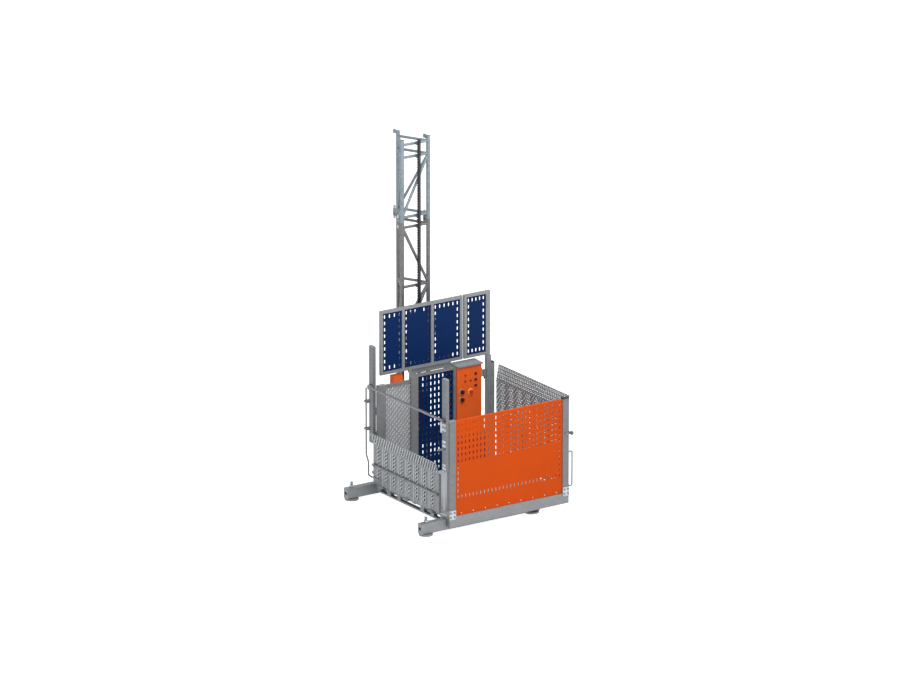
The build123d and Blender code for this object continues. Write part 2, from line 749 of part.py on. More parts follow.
def floor_frame():
    """Sills, cross members and hinge lugs under the floor plate."""
    pieces = []
    slot_z = (SILL_SLOT_Z, SILL_SLOT_Z + SILL_SLOT_H)
    sides = (
        (-1, (CAR_LEFT, CAR_LEFT + SILL_W), RAMP_FRONT, RAMP_BACK),
        (1, (CAR_RIGHT - SILL_W, CAR_RIGHT), FLAP_FRONT, FLAP_BACK),
    )
    for side, x, front, back in sides:
        sill = block(x, (SILL_FRONT, REAR_FRONT_Y), (SILL_Z, FRAME_TOP))
        for span in sill_slots():
            sill -= block(x, span, slot_z)
        sill += block(x, (WALL_BACK, SILL_FRONT), (OVER_BEAM_Z, FRAME_TOP))
        sill += hinge_lugs(side, leaf_hinge_rows(front, back))
        pieces.append(sill)
    across = (CAR_LEFT + SILL_W, CAR_RIGHT - SILL_W)
    for row in spread(*BUFFER_ROWS, CROSS_COUNT):
        pieces.append(block(across, (row - CROSS_W / 2, row + CROSS_W / 2), (CROSS_Z, FRAME_TOP)))
    pieces.append(block((CAR_LEFT, CAR_RIGHT), (REAR_FRONT_Y, REAR_WALL_Y), (SILL_Z, FRAME_TOP)))
    return pieces


def floor_plate():
    """Deck between the front wall and the rear frame."""
    return block((CAR_LEFT, CAR_RIGHT), (WALL_BACK, REAR_FRONT_Y), (FRAME_TOP, FLOOR_TOP))


def front_post_spans():
    """X spans of the two front posts."""
    return (CAR_LEFT, CAR_LEFT + FRONT_POST_W), (CAR_RIGHT - FRONT_POST_W, CAR_RIGHT)


def front_apron():
    """Front floor beam with the sockets that hold the front posts."""
    y = (CAR_FRONT, WALL_BACK)
    pieces = [block((CAR_LEFT, CAR_RIGHT), y, (APRON_Z, FRAME_TOP))]
    for left, right in front_post_spans():
        outside = (left - SOCKET_T, right + SOCKET_T)
        socket = block(outside, (CAR_FRONT - SOCKET_T, WALL_BACK), (SOCKET_Z, SOCKET_Z + SOCKET_H))
        inner_side = (left - FRONT_POST_W, right) if left > 0 else (left, right + FRONT_POST_W)
        pieces.append(socket - block(inner_side, y, (SOCKET_Z, SOCKET_Z + SOCKET_H)))
    return pieces


def front_posts():
    """Front corner posts, standing on the apron."""
    return [block(x, (CAR_FRONT, WALL_BACK), (FRAME_TOP, WALL_TOP)) for x in front_post_spans()]


def post_cap(x, y, z):
    """Plug with bevelled top edges on a post end."""
    sides = [(low + CAP_INSET, high - CAP_INSET) for low, high in (x, y)]
    cap = block(*sides, (z, z + CAP_H))
    return chamfer(cap.faces().sort_by(Axis.Z)[-1].edges(), CAP_BEVEL)


def post_caps():
    """Caps on the front, rear and gate posts."""
    front_y = (CAR_FRONT, WALL_BACK)
    rear_y = (REAR_FRONT_Y, REAR_WALL_Y)
    caps = [post_cap(x, front_y, WALL_TOP) for x in front_post_spans()]
    caps.append(post_cap((CAR_LEFT, CAR_LEFT + REAR_POST_W), rear_y, REAR_LEFT_TOP))
    corner_x = RIGHT_POST_X + RIGHT_POST_W
    caps.append(post_cap((corner_x, corner_x + CORNER_POST_W), rear_y, CORNER_POST_TOP))
    for y in (NEAR_POST_Y, FAR_POST_Y):
        post_y = (y - GATE_POST_W / 2, y + GATE_POST_W / 2)
        caps.append(post_cap((GATE_POST_OUT, CAR_LEFT), post_y, GATE_POST_TOP))
    return caps


def panel_slots(x, z):
    """Slot positions: a full field of rows at the top and a border row near the floor."""
    columns = int((x[1] - x[0] - 2 * SLOT_MARGIN) // SLOT_PITCH_X) + 1
    left = (x[0] + x[1] - (columns - 1) * SLOT_PITCH_X) / 2
    top = z[1] - SLOT_MARGIN - SLOT_H / 2
    heights = [top - row * SLOT_PITCH_Z for row in range(SLOT_ROWS)] + [BORDER_ROW_Z]
    return [(left + column * SLOT_PITCH_X, height) for column in range(columns) for height in heights]


def front_panel():
    """Folded sheet between the front posts, perforated above."""
    x = (CAR_LEFT + FRONT_POST_W, CAR_RIGHT - FRONT_POST_W)
    z = (FRAME_TOP, WALL_TOP)
    face_y = CAR_FRONT + PANEL_SETBACK
    tray = block(x, (face_y, face_y + PANEL_FOLD), z)
    inner_x = (x[0] + SHEET_T, x[1] - SHEET_T)
    inner_z = (z[0] + SHEET_T, z[1] - SHEET_T)
    tray -= block(inner_x, (face_y + SHEET_T, face_y + PANEL_FOLD), inner_z)
    plane = Plane(origin=(0, face_y - SHEET_T, 0), x_dir=(1, 0, 0), z_dir=(0, -1, 0))
    slots = Sketch() + [Pos(*spot) * Rectangle(SLOT_W, SLOT_H) for spot in panel_slots(x, z)]
    return tray - extrude(plane * slots, -3 * SHEET_T)


def rear_frame():
    """Rear posts and rails; the right post is drilled for the gate's pin and carries a limit switch."""
    y = (REAR_FRONT_Y, REAR_WALL_Y)
    rail_y = (REAR_WALL_Y - GUARD_DEPTH, REAR_WALL_Y)
    inner = (INNER_POST_X, INNER_POST_X + INNER_POST_W)
    slim = (SLIM_POST_X, SLIM_POST_X + SLIM_POST_W)
    right = (RIGHT_POST_X, RIGHT_POST_X + RIGHT_POST_W)
    seat = upright(*GATE_AXIS, (RIGHT_POST_TOP - GATE_PIN_SEAT, RIGHT_POST_TOP), GATE_PIN_R + PIN_GAP)
    limit_y = (REAR_WALL_Y - LIMIT_D, REAR_WALL_Y)
    return [
        block(right, y, (FRAME_TOP, RIGHT_POST_TOP)) - seat,
        block((right[0] - LIMIT_W, right[0]), limit_y, (LIMIT_Z, LIMIT_Z + LIMIT_H)),
        block((CAR_LEFT, CAR_LEFT + REAR_POST_W), y, (FRAME_TOP, REAR_LEFT_TOP)),
        block(inner, y, (FRAME_TOP, BLUE_TOP)),
        block(slim, rail_y, (FRAME_TOP, BLUE_TOP)),
        block((right[1], right[1] + CORNER_POST_W), y, (FRAME_TOP, CORNER_POST_TOP)),
        block((CAR_LEFT + REAR_POST_W, inner[0]), rail_y, (REAR_LEFT_TOP - REAR_RAIL, REAR_LEFT_TOP)),
        block((inner[1], slim[0]), rail_y, (BLUE_TOP - REAR_RAIL, BLUE_TOP)),
        block((slim[1], right[0]), rail_y, (SHELF_TOP - SHELF_H, SHELF_TOP)),
    ]


def wall_sheet(x, z):
    """Flat sheet in the middle of the rear frames."""
    return block(x, (SHEET_Y - SHEET_T / 2, SHEET_Y + SHEET_T / 2), z)


def slot_row(span, size, pitch):
    """Places of the slots spread evenly between the margins of a wall sheet."""
    first = span[0] + SHEET_MARGIN + size / 2
    last = span[1] - SHEET_MARGIN - size / 2
    return spread(first, last, max(int((last - first) // pitch) + 1, 2))


def slotted_sheet(x, z, border):
    """Wall sheet with slots over its whole face, or in a ring along its edges."""
    columns = slot_row(x, SLOT_W, SLOT_PITCH_X)
    rows = slot_row(z, SLOT_H, SLOT_PITCH_Z)
    spots = [(column, row) for column in columns for row in rows]
    if border:
        ends = {columns[0], columns[-1], rows[0], rows[-1]}
        spots = [spot for spot in spots if ends.intersection(spot)]
    plane = Plane(origin=(0, SHEET_Y - SHEET_T / 2, 0), x_dir=(1, 0, 0), z_dir=(0, -1, 0))
    slots = Sketch() + [Pos(*spot) * Rectangle(SLOT_W, SLOT_H) for spot in spots]
    return wall_sheet(x, z) - extrude(plane * slots, -SHEET_T)


def grey_mesh_panels():
    """Mesh sheets left of the inner post and below the cabinet."""
    left = wall_sheet((CAR_LEFT + REAR_POST_W, INNER_POST_X), (FRAME_TOP, REAR_LEFT_TOP - REAR_RAIL))
    right = wall_sheet((SLIM_POST_X + SLIM_POST_W, RIGHT_POST_X), (FRAME_TOP, SHELF_TOP - SHELF_H))
    return [left, right]


def blue_lower_panel():
    """Perforated sheet in front of the drive."""
    x = (INNER_POST_X + INNER_POST_W, SLIM_POST_X)
    return slotted_sheet(x, (FRAME_TOP, BLUE_TOP - REAR_RAIL), border=False)


def guard_windows():
    """X spans of the upper guard's bays."""
    first = GUARD_LEFT + GUARD_BAR
    second = first + GUARD_FIRST_BAY + GUARD_BAR
    rest = (GUARD_LEFT + GUARD_WIDTH - second - 2 * GUARD_BAR) / 2
    third = second + rest + GUARD_BAR
    return [(first, first + GUARD_FIRST_BAY), (second, second + rest), (third, third + rest)]


def guard_depth():
    """Y span of the upper guard and of the gate."""
    return REAR_WALL_Y - GUARD_DEPTH, REAR_WALL_Y


def upper_guard_frame():
    """Three-bay frame above the rear wall, carried by the carriage uprights."""
    x = (GUARD_LEFT, GUARD_LEFT + GUARD_WIDTH)
    y = guard_depth()
    bars = [block(x, y, (z, z + GUARD_BAR)) for z in (GUARD_Z, GUARD_TOP - GUARD_BAR)]
    lefts = [GUARD_LEFT] + [right for left, right in guard_windows()]
    for left in lefts:
        bars.append(block((left, left + GUARD_BAR), y, (GUARD_Z + GUARD_BAR, GUARD_TOP - GUARD_BAR)))
    return bars


def upper_guard_sheets():
    """One sheet per bay of the upper guard, slotted along its edges."""
    z = (GUARD_Z + GUARD_BAR, GUARD_TOP - GUARD_BAR)
    return [slotted_sheet(span, z, border=True) for span in guard_windows()]


def gate_window():
    """X span of the gate's sheet."""
    return GATE_LEFT + GUARD_BAR, RIGHT_POST_X


def mast_gate_frame():
    """Frame of the mast access gate; its drilled stile turns on the pin of the right post."""
    y = guard_depth()
    middle_z = (GUARD_Z + GUARD_BAR, GUARD_TOP - GUARD_BAR)
    bars = [block((GATE_LEFT, RIGHT_POST_X), y, (z, z + GUARD_BAR)) for z in (GUARD_Z, middle_z[1])]
    bars.append(block((GATE_LEFT, GATE_LEFT + GUARD_BAR), y, middle_z))
    stile = block((RIGHT_POST_X, RIGHT_POST_X + RIGHT_POST_W), y, (GUARD_Z, GUARD_TOP))
    bore = upright(*GATE_AXIS, (GUARD_Z, GUARD_Z + GATE_PIN_RISE + SEAT_GAP), GATE_PIN_R + PIN_GAP)
    return bars + [stile - bore]


def mast_gate_sheet():
    """Sheet in the mast access gate, slotted along its edges."""
    return slotted_sheet(gate_window(), (GUARD_Z + GUARD_BAR, GUARD_TOP - GUARD_BAR), border=True)


def gate_pin():
    """Pivot pin of the mast access gate in the right post, with the collar that carries the gate."""
    pin = upright(*GATE_AXIS, (RIGHT_POST_TOP - GATE_PIN_SEAT, GUARD_Z + GATE_PIN_RISE), GATE_PIN_R)
    return pin + upright(*GATE_AXIS, (RIGHT_POST_TOP, GUARD_Z - SLIDE_GAP), GATE_COLLAR_R)


# Control cabinet

def cabinet_housing():
    """Open-fronted sheet housing with the fixed halves of the door hinges."""
    x = (CABINET_LEFT, CABINET_RIGHT)
    z = (SHELF_TOP, CABINET_TOP)
    inner = [(low + CABINET_WALL, high - CABINET_WALL) for low, high in (x, z)]
    housing = block(x, (CABINET_FRONT, CABINET_BACK), z)
    housing -= block(inner[0], (CABINET_FRONT, CABINET_BACK - CABINET_WALL), inner[1])
    for row in door_hinge_rows():
        span = (row - DOOR_KNUCKLE_H, row - SLIDE_GAP)
        link_x = (CABINET_RIGHT, DOOR_AXIS[0] + DOOR_KNUCKLE_R)
        link_y = (DOOR_AXIS[1], CABINET_FRONT + 2 * DOOR_KNUCKLE_R)
        housing += block(link_x, link_y, span) + upright(*DOOR_AXIS, span, DOOR_KNUCKLE_R)
        housing -= upright(*DOOR_AXIS, span, DOOR_PIN_R + PIN_GAP)
    return housing


def cabinet_hood():
    """Sloping rain hood over the cabinet and its door."""
    front = CABINET_FRONT - HOOD_REACH
    outline = [
        (front, CABINET_TOP),
        (CABINET_BACK, CABINET_TOP),
        (CABINET_BACK, CABINET_TOP + HOOD_BACK_H),
        (front, CABINET_TOP + HOOD_FRONT_H),
    ]
    plane = Plane(origin=(CABINET_LEFT, 0, 0), x_dir=(0, 1, 0), z_dir=(1, 0, 0))
    return prism(outline, plane, CABINET_WIDTH + HOOD_SIDE)


def switchgear():
    """Mounting plate on the housing's back wall with a row of contactor blocks."""
    back = CABINET_BACK - CABINET_WALL
    x = (CABINET_LEFT + SWITCHGEAR_H / 2, CABINET_RIGHT - SWITCHGEAR_H / 2)
    z = (SHELF_TOP + SWITCHGEAR_H, CABINET_TOP - SWITCHGEAR_H)
    gear = block(x, (back - SWITCHGEAR_T, back), z)
    for middle in spread(x[0] + SWITCHGEAR_H, x[1] - SWITCHGEAR_H, SWITCHGEAR_COLUMNS):
        for row in spread(z[0] + 2 * SWITCHGEAR_H, z[1] - 2 * SWITCHGEAR_H, SWITCHGEAR_ROWS):
            span_x = (middle - SWITCHGEAR_W / 2, middle + SWITCHGEAR_W / 2)
            span_z = (row - SWITCHGEAR_H, row + SWITCHGEAR_H)
            gear += block(span_x, (back - SWITCHGEAR_H, back), span_z)
    return gear


def door_hinge_rows():
    """Underside heights of the door's knuckles."""
    return SHELF_TOP + DOOR_HINGE_INSET, CABINET_TOP - DOOR_HINGE_INSET


def door_hinge_pins():
    """Pins of the cabinet door."""
    reach = DOOR_KNUCKLE_H - SEAT_GAP
    return [upright(*DOOR_AXIS, (z - reach, z + reach), DOOR_PIN_R) for z in door_hinge_rows()]


def on_door(column, drop):
    """Place on the door's front face: from its left edge and from the cabinet's top."""
    return CABINET_LEFT + column, CABINET_TOP - drop


def button_spots():
    """Places of the three push buttons, from the top."""
    return [on_door(BUTTON_COLUMN, BUTTON_DROP + row * BUTTON_STEP) for row in range(3)]


def switch_spots():
    """Places of the selector and of the main switch."""
    return [on_door(SWITCH_COLUMN, SWITCH_DROP + row * SWITCH_STEP) for row in range(2)]


def stud(spot, start, end, radius):
    """Round bar square to the door, start and end counted outwards from its front."""
    x, z = spot
    return round_bar((x, DOOR_FRONT - start, z), (x, DOOR_FRONT - end, z), radius)


def square_stud(spot, start, end, side):
    """Square bar like stud."""
    x, z = spot
    half = side / 2
    return block((x - half, x + half), (DOOR_FRONT - end, DOOR_FRONT - start), (z - half, z + half))


def cabinet_door():
    """Door with stem holes and its knuckles."""
    x = (CABINET_LEFT, CABINET_RIGHT)
    door = block(x, (DOOR_FRONT, CABINET_FRONT - SLIDE_GAP), (SHELF_TOP, CABINET_TOP - SEAT_GAP))
    for spot in button_spots():
        door -= stud(spot, -STEM_HOLE_DEPTH, 0, STEM_R + SLIDE_GAP)
    door -= stud(on_door(STOP_COLUMN, STOP_DROP), -STEM_HOLE_DEPTH, 0, STEM_R + SLIDE_GAP)
    for spot in switch_spots():
        door -= stud(spot, -STEM_HOLE_DEPTH, 0, STEM_R + PIN_GAP)
    for z in door_hinge_rows():
        span = (z, z + DOOR_KNUCKLE_H)
        link_y = (DOOR_AXIS[1] - DOOR_KNUCKLE_R / 2, DOOR_AXIS[1] + DOOR_KNUCKLE_R / 2)
        door += block((CABINET_RIGHT - DOOR_KNUCKLE_R, DOOR_AXIS[0]), link_y, span)
        door += upright(*DOOR_AXIS, span, DOOR_KNUCKLE_R)
        door -= upright(*DOOR_AXIS, span, DOOR_PIN_R + PIN_GAP)
    return door


def control_bezels():
    """Rings on the door round each control, and three indicator lamps."""
    bezels = []
    inner = BUTTON_SIDE + 2 * SLIDE_GAP
    for spot in button_spots():
        ring = square_stud(spot, 0, BEZEL_T, inner + 2 * BEZEL_W)
        bezels.append(ring - square_stud(spot, 0, BEZEL_T, inner))
    rounds = [(spot, KNOB_R) for spot in switch_spots()]
    rounds.append((on_door(STOP_COLUMN, STOP_DROP), STOP_R + BEZEL_W))
    for spot, radius in rounds:
        ring = stud(spot, 0, BEZEL_T, radius + BEZEL_W)
        bezels.append(ring - stud(spot, 0, BEZEL_T, STEM_R + BEZEL_W))
    for row, column in enumerate(LAMP_COLUMNS):
        spot = on_door(column, BUTTON_DROP + min(row, 1) * BUTTON_STEP)
        bezels.append(stud(spot, 0, BUTTON_H, BUTTON_SIDE / 2))
    return bezels


def push_button(spot):
    """Square push button on its stem."""
    seat = PRESS + SLIDE_GAP
    return square_stud(spot, seat, seat + BUTTON_H, BUTTON_SIDE) + stud(spot, -STEM_DEPTH, seat, STEM_R)


def emergency_stop():
    """Mushroom head on its stem."""
    spot = on_door(STOP_COLUMN, STOP_DROP)
    under = BEZEL_T + PRESS + SEAT_GAP
    head = stud(spot, under, STOP_H, STOP_R)
    head = chamfer(head.faces().sort_by(Axis.Y)[0].edges(), STOP_BEVEL)
    return head + stud(spot, -STEM_DEPTH, under, STEM_R)


def rotary_switch(spot):
    """Fluted knob with a pointer bar, on its stem."""
    x, z = spot
    seat = BEZEL_T + SLIDE_GAP
    plane = Plane(origin=(x, DOOR_FRONT - seat, z), x_dir=(1, 0, 0), z_dir=(0, -1, 0))
    knob = extrude(plane * RegularPolygon(KNOB_R, KNOB_SIDES), KNOB_H)
    bar_y = (DOOR_FRONT - seat - KNOB_H - BEZEL_W, DOOR_FRONT - seat - KNOB_H)
    knob += block((x - BEZEL_W, x + BEZEL_W), bar_y, (z - POINTER_REACH, z + POINTER_REACH))
    return knob + stud(spot, -STEM_DEPTH, seat, STEM_R)


# Side leaves

def ramp_ribs():
    """Y positions of the ramp's ribs."""
    return spread(RAMP_FRONT + RAMP_RIB_W / 2, RAMP_BACK - RAMP_RIB_W / 2, RAMP_RIBS)


def flap_ribs():
    """Y positions of the flap's ribs."""
    return spread(FLAP_FRONT + FLAP_RIB_W / 2, FLAP_BACK - FLAP_RIB_W / 2, FLAP_RIBS)


def leaf_knuckle(side, row):
    """Drilled hinge knuckle under a leaf, with its link."""
    axis = hinge_axis(side)
    y = (row - KNUCKLE_W / 2, row + KNUCKLE_W / 2)
    ends = [(axis, end, HINGE_Z) for end in y]
    root = axis - side * (LEAF_AXIS_OUT - LEAF_SHEET)
    link = block(tuple(sorted((axis, root))), y, (HINGE_Z, LEAF_Z))
    return link + round_bar(*ends, KNUCKLE_R) - round_bar(*ends, HINGE_PIN_R + PIN_GAP)


def side_leaf(side, left, y, top, strip, lean, ribs, rib_w):
    """Leaf from its left face on: sheet, ribs, hinge knuckles and an end strip that leans outwards."""
    backing = left + LEAF_SHEET
    rib_x = (backing, left + LEAF_T)
    rib_z = (LEAF_Z + LEAF_EDGE, top - LEAF_EDGE)
    pieces = [block((left, backing), y, (LEAF_Z, top))]
    for edge_z in ((LEAF_Z, rib_z[0]), (rib_z[1], top)):
        pieces.append(block(rib_x, y, edge_z))
    shift = side * lean
    outline = [(left, top), (backing, top), (backing + shift, top + strip), (left + shift, top + strip)]
    plane = Plane(origin=(0, y[1], 0), x_dir=(1, 0, 0), z_dir=(0, -1, 0))
    pieces.append(prism(outline, plane, y[1] - y[0]))
    for middle in ribs:
        pieces.append(block(rib_x, (middle - rib_w / 2, middle + rib_w / 2), rib_z))
    pieces += [leaf_knuckle(side, row) for row in leaf_hinge_rows(*y)]
    return pieces


def ramp_outer_x():
    """X of the ramp's outer face."""
    return CAR_LEFT - RAMP_GAP - LEAF_T


def ramp_slots():
    """Slanted slots of the ramp, two staggered columns in every bay between its ribs."""
    ribs = ramp_ribs()
    edge = LEAF_EDGE + RAMP_SLOT_H
    rows = spread(LEAF_Z + edge, RAMP_TOP - edge, 2 * RAMP_SLOT_ROWS)
    slot = Rot(Z=RAMP_SLOT_TILT) * Rectangle(RAMP_SLOT_W, RAMP_SLOT_H)
    slots = Sketch()
    for first, second in zip(ribs, ribs[1:]):
        middle = (first + second) / 2
        slots += [Pos(middle - RAMP_SLOT_SPACING / 2, row) * slot for row in rows[::2]]
        slots += [Pos(middle + RAMP_SLOT_SPACING / 2, row) * slot for row in rows[1::2]]
    plane = Plane(origin=(ramp_outer_x(), 0, 0), x_dir=(0, 1, 0), z_dir=(1, 0, 0))
    return extrude(plane * slots, LEAF_SHEET)


def ramp_panel():
    """Slotted loading ramp with the saddles of its cross bar and the crank of the push rod."""
    ribs = ramp_ribs()
    y = (RAMP_FRONT, RAMP_BACK)
    outer = ramp_outer_x()
    ramp = side_leaf(-1, outer, y, RAMP_TOP, RAMP_STRIP, RAMP_LEAN, ribs, RAMP_RIB_W)
    ramp[0] -= ramp_slots()
    saddle_x = (outer - 2 * RAMP_BAR_R - SADDLE_WALL, outer)
    half = RAMP_BAR_R + SADDLE_WALL
    saddle_z = (RAMP_BAR_Z - half, RAMP_BAR_Z + half)
    bar_ends = [(ramp_bar_x(), end, RAMP_BAR_Z) for end in y]
    bore = round_bar(*bar_ends, RAMP_BAR_R + PIN_GAP)
    for rib in (ribs[0], ribs[RAMP_RIBS // 2], ribs[-1]):
        ramp.append(block(saddle_x, (rib - SADDLE_W / 2, rib + SADDLE_W / 2), saddle_z) - bore)
    ends = [(crank_x(), end, CRANK_Z) for end in (RAMP_BACK - CRANK_LENGTH, RAMP_BACK + CRANK_OVERHANG)]
    leaf_side = block((outer, outer + LEAF_T), y, (LEAF_Z, RAMP_TOP))
    return ramp + [round_bar(*ends, CRANK_R) - leaf_side]


def ramp_bar_x():
    """X of the cross bar on the ramp's outer face."""
    return ramp_outer_x() - RAMP_BAR_R - SEAT_GAP


def crank_x():
    """X of the ramp's crank and of the push rod."""
    return ramp_outer_x() - CRANK_R + SEAT_GAP


def ramp_bar():
    """Cross bar held in the ramp's saddles."""
    ends = [(ramp_bar_x(), y, RAMP_BAR_Z) for y in (RAMP_FRONT, RAMP_BACK)]
    return round_bar(*ends, RAMP_BAR_R)


def flap_middle_x():
    """X of the middle of the flap's thickness."""
    return CAR_RIGHT + FLAP_GAP + LEAF_T / 2


def flap_panel():
    """Long side flap: a grid of openings in its sheet, and the bore of its latch in the front rib."""
    ribs = flap_ribs()
    inner = CAR_RIGHT + FLAP_GAP
    sides = (FLAP_FRONT, FLAP_BACK)
    flap = side_leaf(1, inner, sides, FLAP_TOP, FLAP_STRIP, FLAP_LEAN, ribs, FLAP_RIB_W)
    columns = [(first + second) / 2 for first, second in zip(ribs, ribs[1:])]
    edge = LEAF_EDGE + FLAP_OPENING_H
    rows = spread(LEAF_Z + edge, FLAP_TOP - edge, FLAP_OPENING_ROWS)
    opening = Rectangle(FLAP_OPENING_W, FLAP_OPENING_H)
    grid = Sketch() + [Pos(column, row) * opening for column in columns for row in rows]
    plane = Plane(origin=(inner, 0, 0), x_dir=(0, 1, 0), z_dir=(1, 0, 0))
    flap[0] -= extrude(plane * grid, LEAF_SHEET)
    x = flap_middle_x()
    ends = [(x, y, LATCH_Z) for y in (FLAP_FRONT, FLAP_FRONT + LATCH_STEM_DEPTH + SEAT_GAP)]
    bore = round_bar(*ends, LATCH_STEM_R + PIN_GAP)
    return [piece - bore for piece in flap]


def flap_latch():
    """Turning knob with a tongue in front of the right front post."""
    x = flap_middle_x()
    back = CAR_FRONT - 2 * SEAT_GAP
    front = back - LATCH_TONGUE_T
    tongue_z = (LATCH_Z - LATCH_TONGUE_H / 2, LATCH_Z + LATCH_TONGUE_H / 2)
    latch = block((x - LATCH_TONGUE, x), (front, back), tongue_z)
    latch += round_bar((x, FLAP_FRONT + LATCH_STEM_DEPTH, LATCH_Z), (x, back, LATCH_Z), LATCH_STEM_R)
    return latch + round_bar((x, back, LATCH_Z), (x, front - LATCH_KNOB_H, LATCH_Z), LATCH_KNOB_R)


def flap_handle():
    """Pull bar on bent legs at the flap's front edge."""
    x = flap_middle_x()
    out = x + HANDLE_OUT
    y = FLAP_FRONT - HANDLE_STAND
    low = HANDLE_Z + HANDLE_R
    high = HANDLE_Z + HANDLE_LENGTH - HANDLE_R
    path = FilletPolyline(
        (x, FLAP_FRONT, low),
        (x, y, low),
        (out, y, low),
        (out, y, high),
        (x, y, high),
        (x, FLAP_FRONT, high),
        radius=HANDLE_BEND,
    )
    return round_sweep(path, HANDLE_R)


# Gate posts, barrier and interlock

def barrier_cradle():
    """Open cradle on the near gate post: a floor with the latch bore, and two cheeks."""
    outer = (GATE_POST_OUT - CRADLE_DEPTH, GATE_POST_OUT)
    y = (NEAR_POST_Y - CRADLE_W / 2, NEAR_POST_Y + CRADLE_W / 2)
    rest = BARRIER_Z - BARRIER_R - SLIDE_GAP
    side = BARRIER_R + SLIDE_GAP
    floor = block(outer, y, (rest - CRADLE_WALL, rest))
    cheek_z = (rest, BARRIER_Z + CRADLE_RISE)
    cheeks = [block(x, y, cheek_z) for x in ((outer[0], BARRIER_X - side), (BARRIER_X + side, outer[1]))]
    return [floor - latch_stem(BARRIER_LATCH_PIN_R + PIN_GAP, BARRIER_LATCH_SEAT + SEAT_GAP)] + cheeks


def gate_posts():
    """Two gate posts with brackets, barrier cradle, barrier stub, hand grip and rod guides."""
    x = (GATE_POST_OUT, CAR_LEFT)
    half = GATE_POST_W / 2
    bracket_x = (CAR_LEFT, CAR_LEFT + BRACKET_X)
    high_bracket = (BRACKET_HIGH, BRACKET_HIGH + BRACKET_H)
    stub = [(end, FAR_POST_Y, BARRIER_Z) for end in (GATE_POST_OUT, BARRIER_X - BARRIER_R - SEAT_GAP)]
    pieces = [
        block(x, (NEAR_POST_Y - half, NEAR_POST_Y + half), (NEAR_POST_Z, GATE_POST_TOP)),
        block(x, (FAR_POST_Y - half, FAR_POST_Y + half), (FAR_POST_Z, GATE_POST_TOP)),
        block(bracket_x, (WALL_BACK, NEAR_POST_Y + half), high_bracket),
        block(bracket_x, (REAR_WALL_Y, FAR_POST_Y + half), high_bracket),
        block(bracket_x, (REAR_WALL_Y, FAR_POST_Y + half), (BRACKET_LOW, BRACKET_LOW + BRACKET_H)),
        round_bar(*stub, BARRIER_PIN_R),
        block(
            (GATE_POST_OUT - LEVER_REACH, GATE_POST_OUT),
            (NEAR_POST_Y - LEVER_T / 2, NEAR_POST_Y + LEVER_T / 2),
            (LEVER_Z, LEVER_Z + LEVER_H),
        ),
    ]
    eye = ROD_R + ROD_GUIDE_WALL
    for z in ROD_GUIDES:
        span = (z - ROD_GUIDE_H / 2, z + ROD_GUIDE_H / 2)
        guide = block((crank_x() - eye, CAR_LEFT), (FAR_POST_Y + half, ROD_HIGH_Y + eye), span)
        pieces.append(guide - upright(crank_x(), ROD_HIGH_Y, span, ROD_R + SLIDE_GAP))
    return pieces + barrier_cradle()


def barrier_bar():
    """Tube with a pivot hub at the far post, resting in the near post's cradle."""
    tip = NEAR_POST_Y - CRADLE_W
    start = (BARRIER_X, FAR_POST_Y, BARRIER_Z)
    bar = round_bar(start, (BARRIER_X, tip, BARRIER_Z), BARRIER_R)
    bar -= round_bar(start, (BARRIER_X, tip, BARRIER_Z), BARRIER_R - BARRIER_WALL)
    hub_x = [(BARRIER_X + sign * BARRIER_R, FAR_POST_Y, BARRIER_Z) for sign in (-1, 1)]
    return bar + round_bar(*hub_x, BARRIER_HUB_R) - round_bar(*hub_x, BARRIER_PIN_R + PIN_GAP)


def barrier_latch_pivot():
    """Pivot of the latch lever on the cradle: X of the cradle's face, Y and Z."""
    return GATE_POST_OUT - CRADLE_DEPTH, NEAR_POST_Y, BARRIER_Z - BARRIER_R - SLIDE_GAP - CRADLE_WALL / 2


def barrier_latch():
    """Hanging latch lever with its pivot stem in the cradle."""
    x, y, z = barrier_latch_pivot()
    half = BARRIER_LATCH_W / 2
    face = x - SLIDE_GAP
    lever = block((face - BARRIER_LATCH_T, face), (y - half, y + half), (z - BARRIER_LATCH_H, z + half))
    return lever + latch_stem(BARRIER_LATCH_PIN_R, BARRIER_LATCH_SEAT)


def latch_stem(radius, depth):
    """Pivot stem of the latch lever, or its bore, into the cradle's face."""
    x, y, z = barrier_latch_pivot()
    return round_bar((x - SLIDE_GAP, y, z), (x + depth, y, z), radius)


def push_rod():
    """Bent interlock rod that follows the ramp's crank."""
    x = crank_x()
    path = FilletPolyline(
        (x, RAMP_BACK + CRANK_OVERHANG + ROD_GAP, CRANK_Z),
        (x, ROD_LOW_Y, CRANK_Z),
        (x, ROD_LOW_Y, ROD_KINK_LOW),
        (x, ROD_HIGH_Y, ROD_KINK_HIGH),
        (x, ROD_HIGH_Y, ROD_TOP),
        radius=ROD_BEND,
    )
    return round_sweep(path, ROD_R)


def stay_chain():
    """Envelope of the taut stay chain between the near gate post and the sill."""
    x = CAR_LEFT - CHAIN_X_OUT
    y = NEAR_POST_Y + GATE_POST_W / 2 - 2 * CHAIN_R
    return upright(x, y, (CHAIN_FOOT_Z, NEAR_POST_Z), CHAIN_R)


def junction_box():
    """Terminal box behind the rear rail."""
    x = (JUNCTION_X - JUNCTION_W / 2, JUNCTION_X + JUNCTION_W / 2)
    box = block(x, (REAR_WALL_Y, REAR_WALL_Y + JUNCTION_D), (JUNCTION_Z, JUNCTION_Z + JUNCTION_H))
    return chamfer(box.edges().filter_by(Axis.Y), JUNCTION_BEVEL)


def save(node, solids):
    """Write one node: a solid or a list of solids."""
    pieces = solids if isinstance(solids, list) else [solids]
    members = [solid for piece in pieces for solid in piece.solids()]
    shape = members[0] if len(members) == 1 else Compound(members)
    export_step(shape, f"parts/{node}.step")


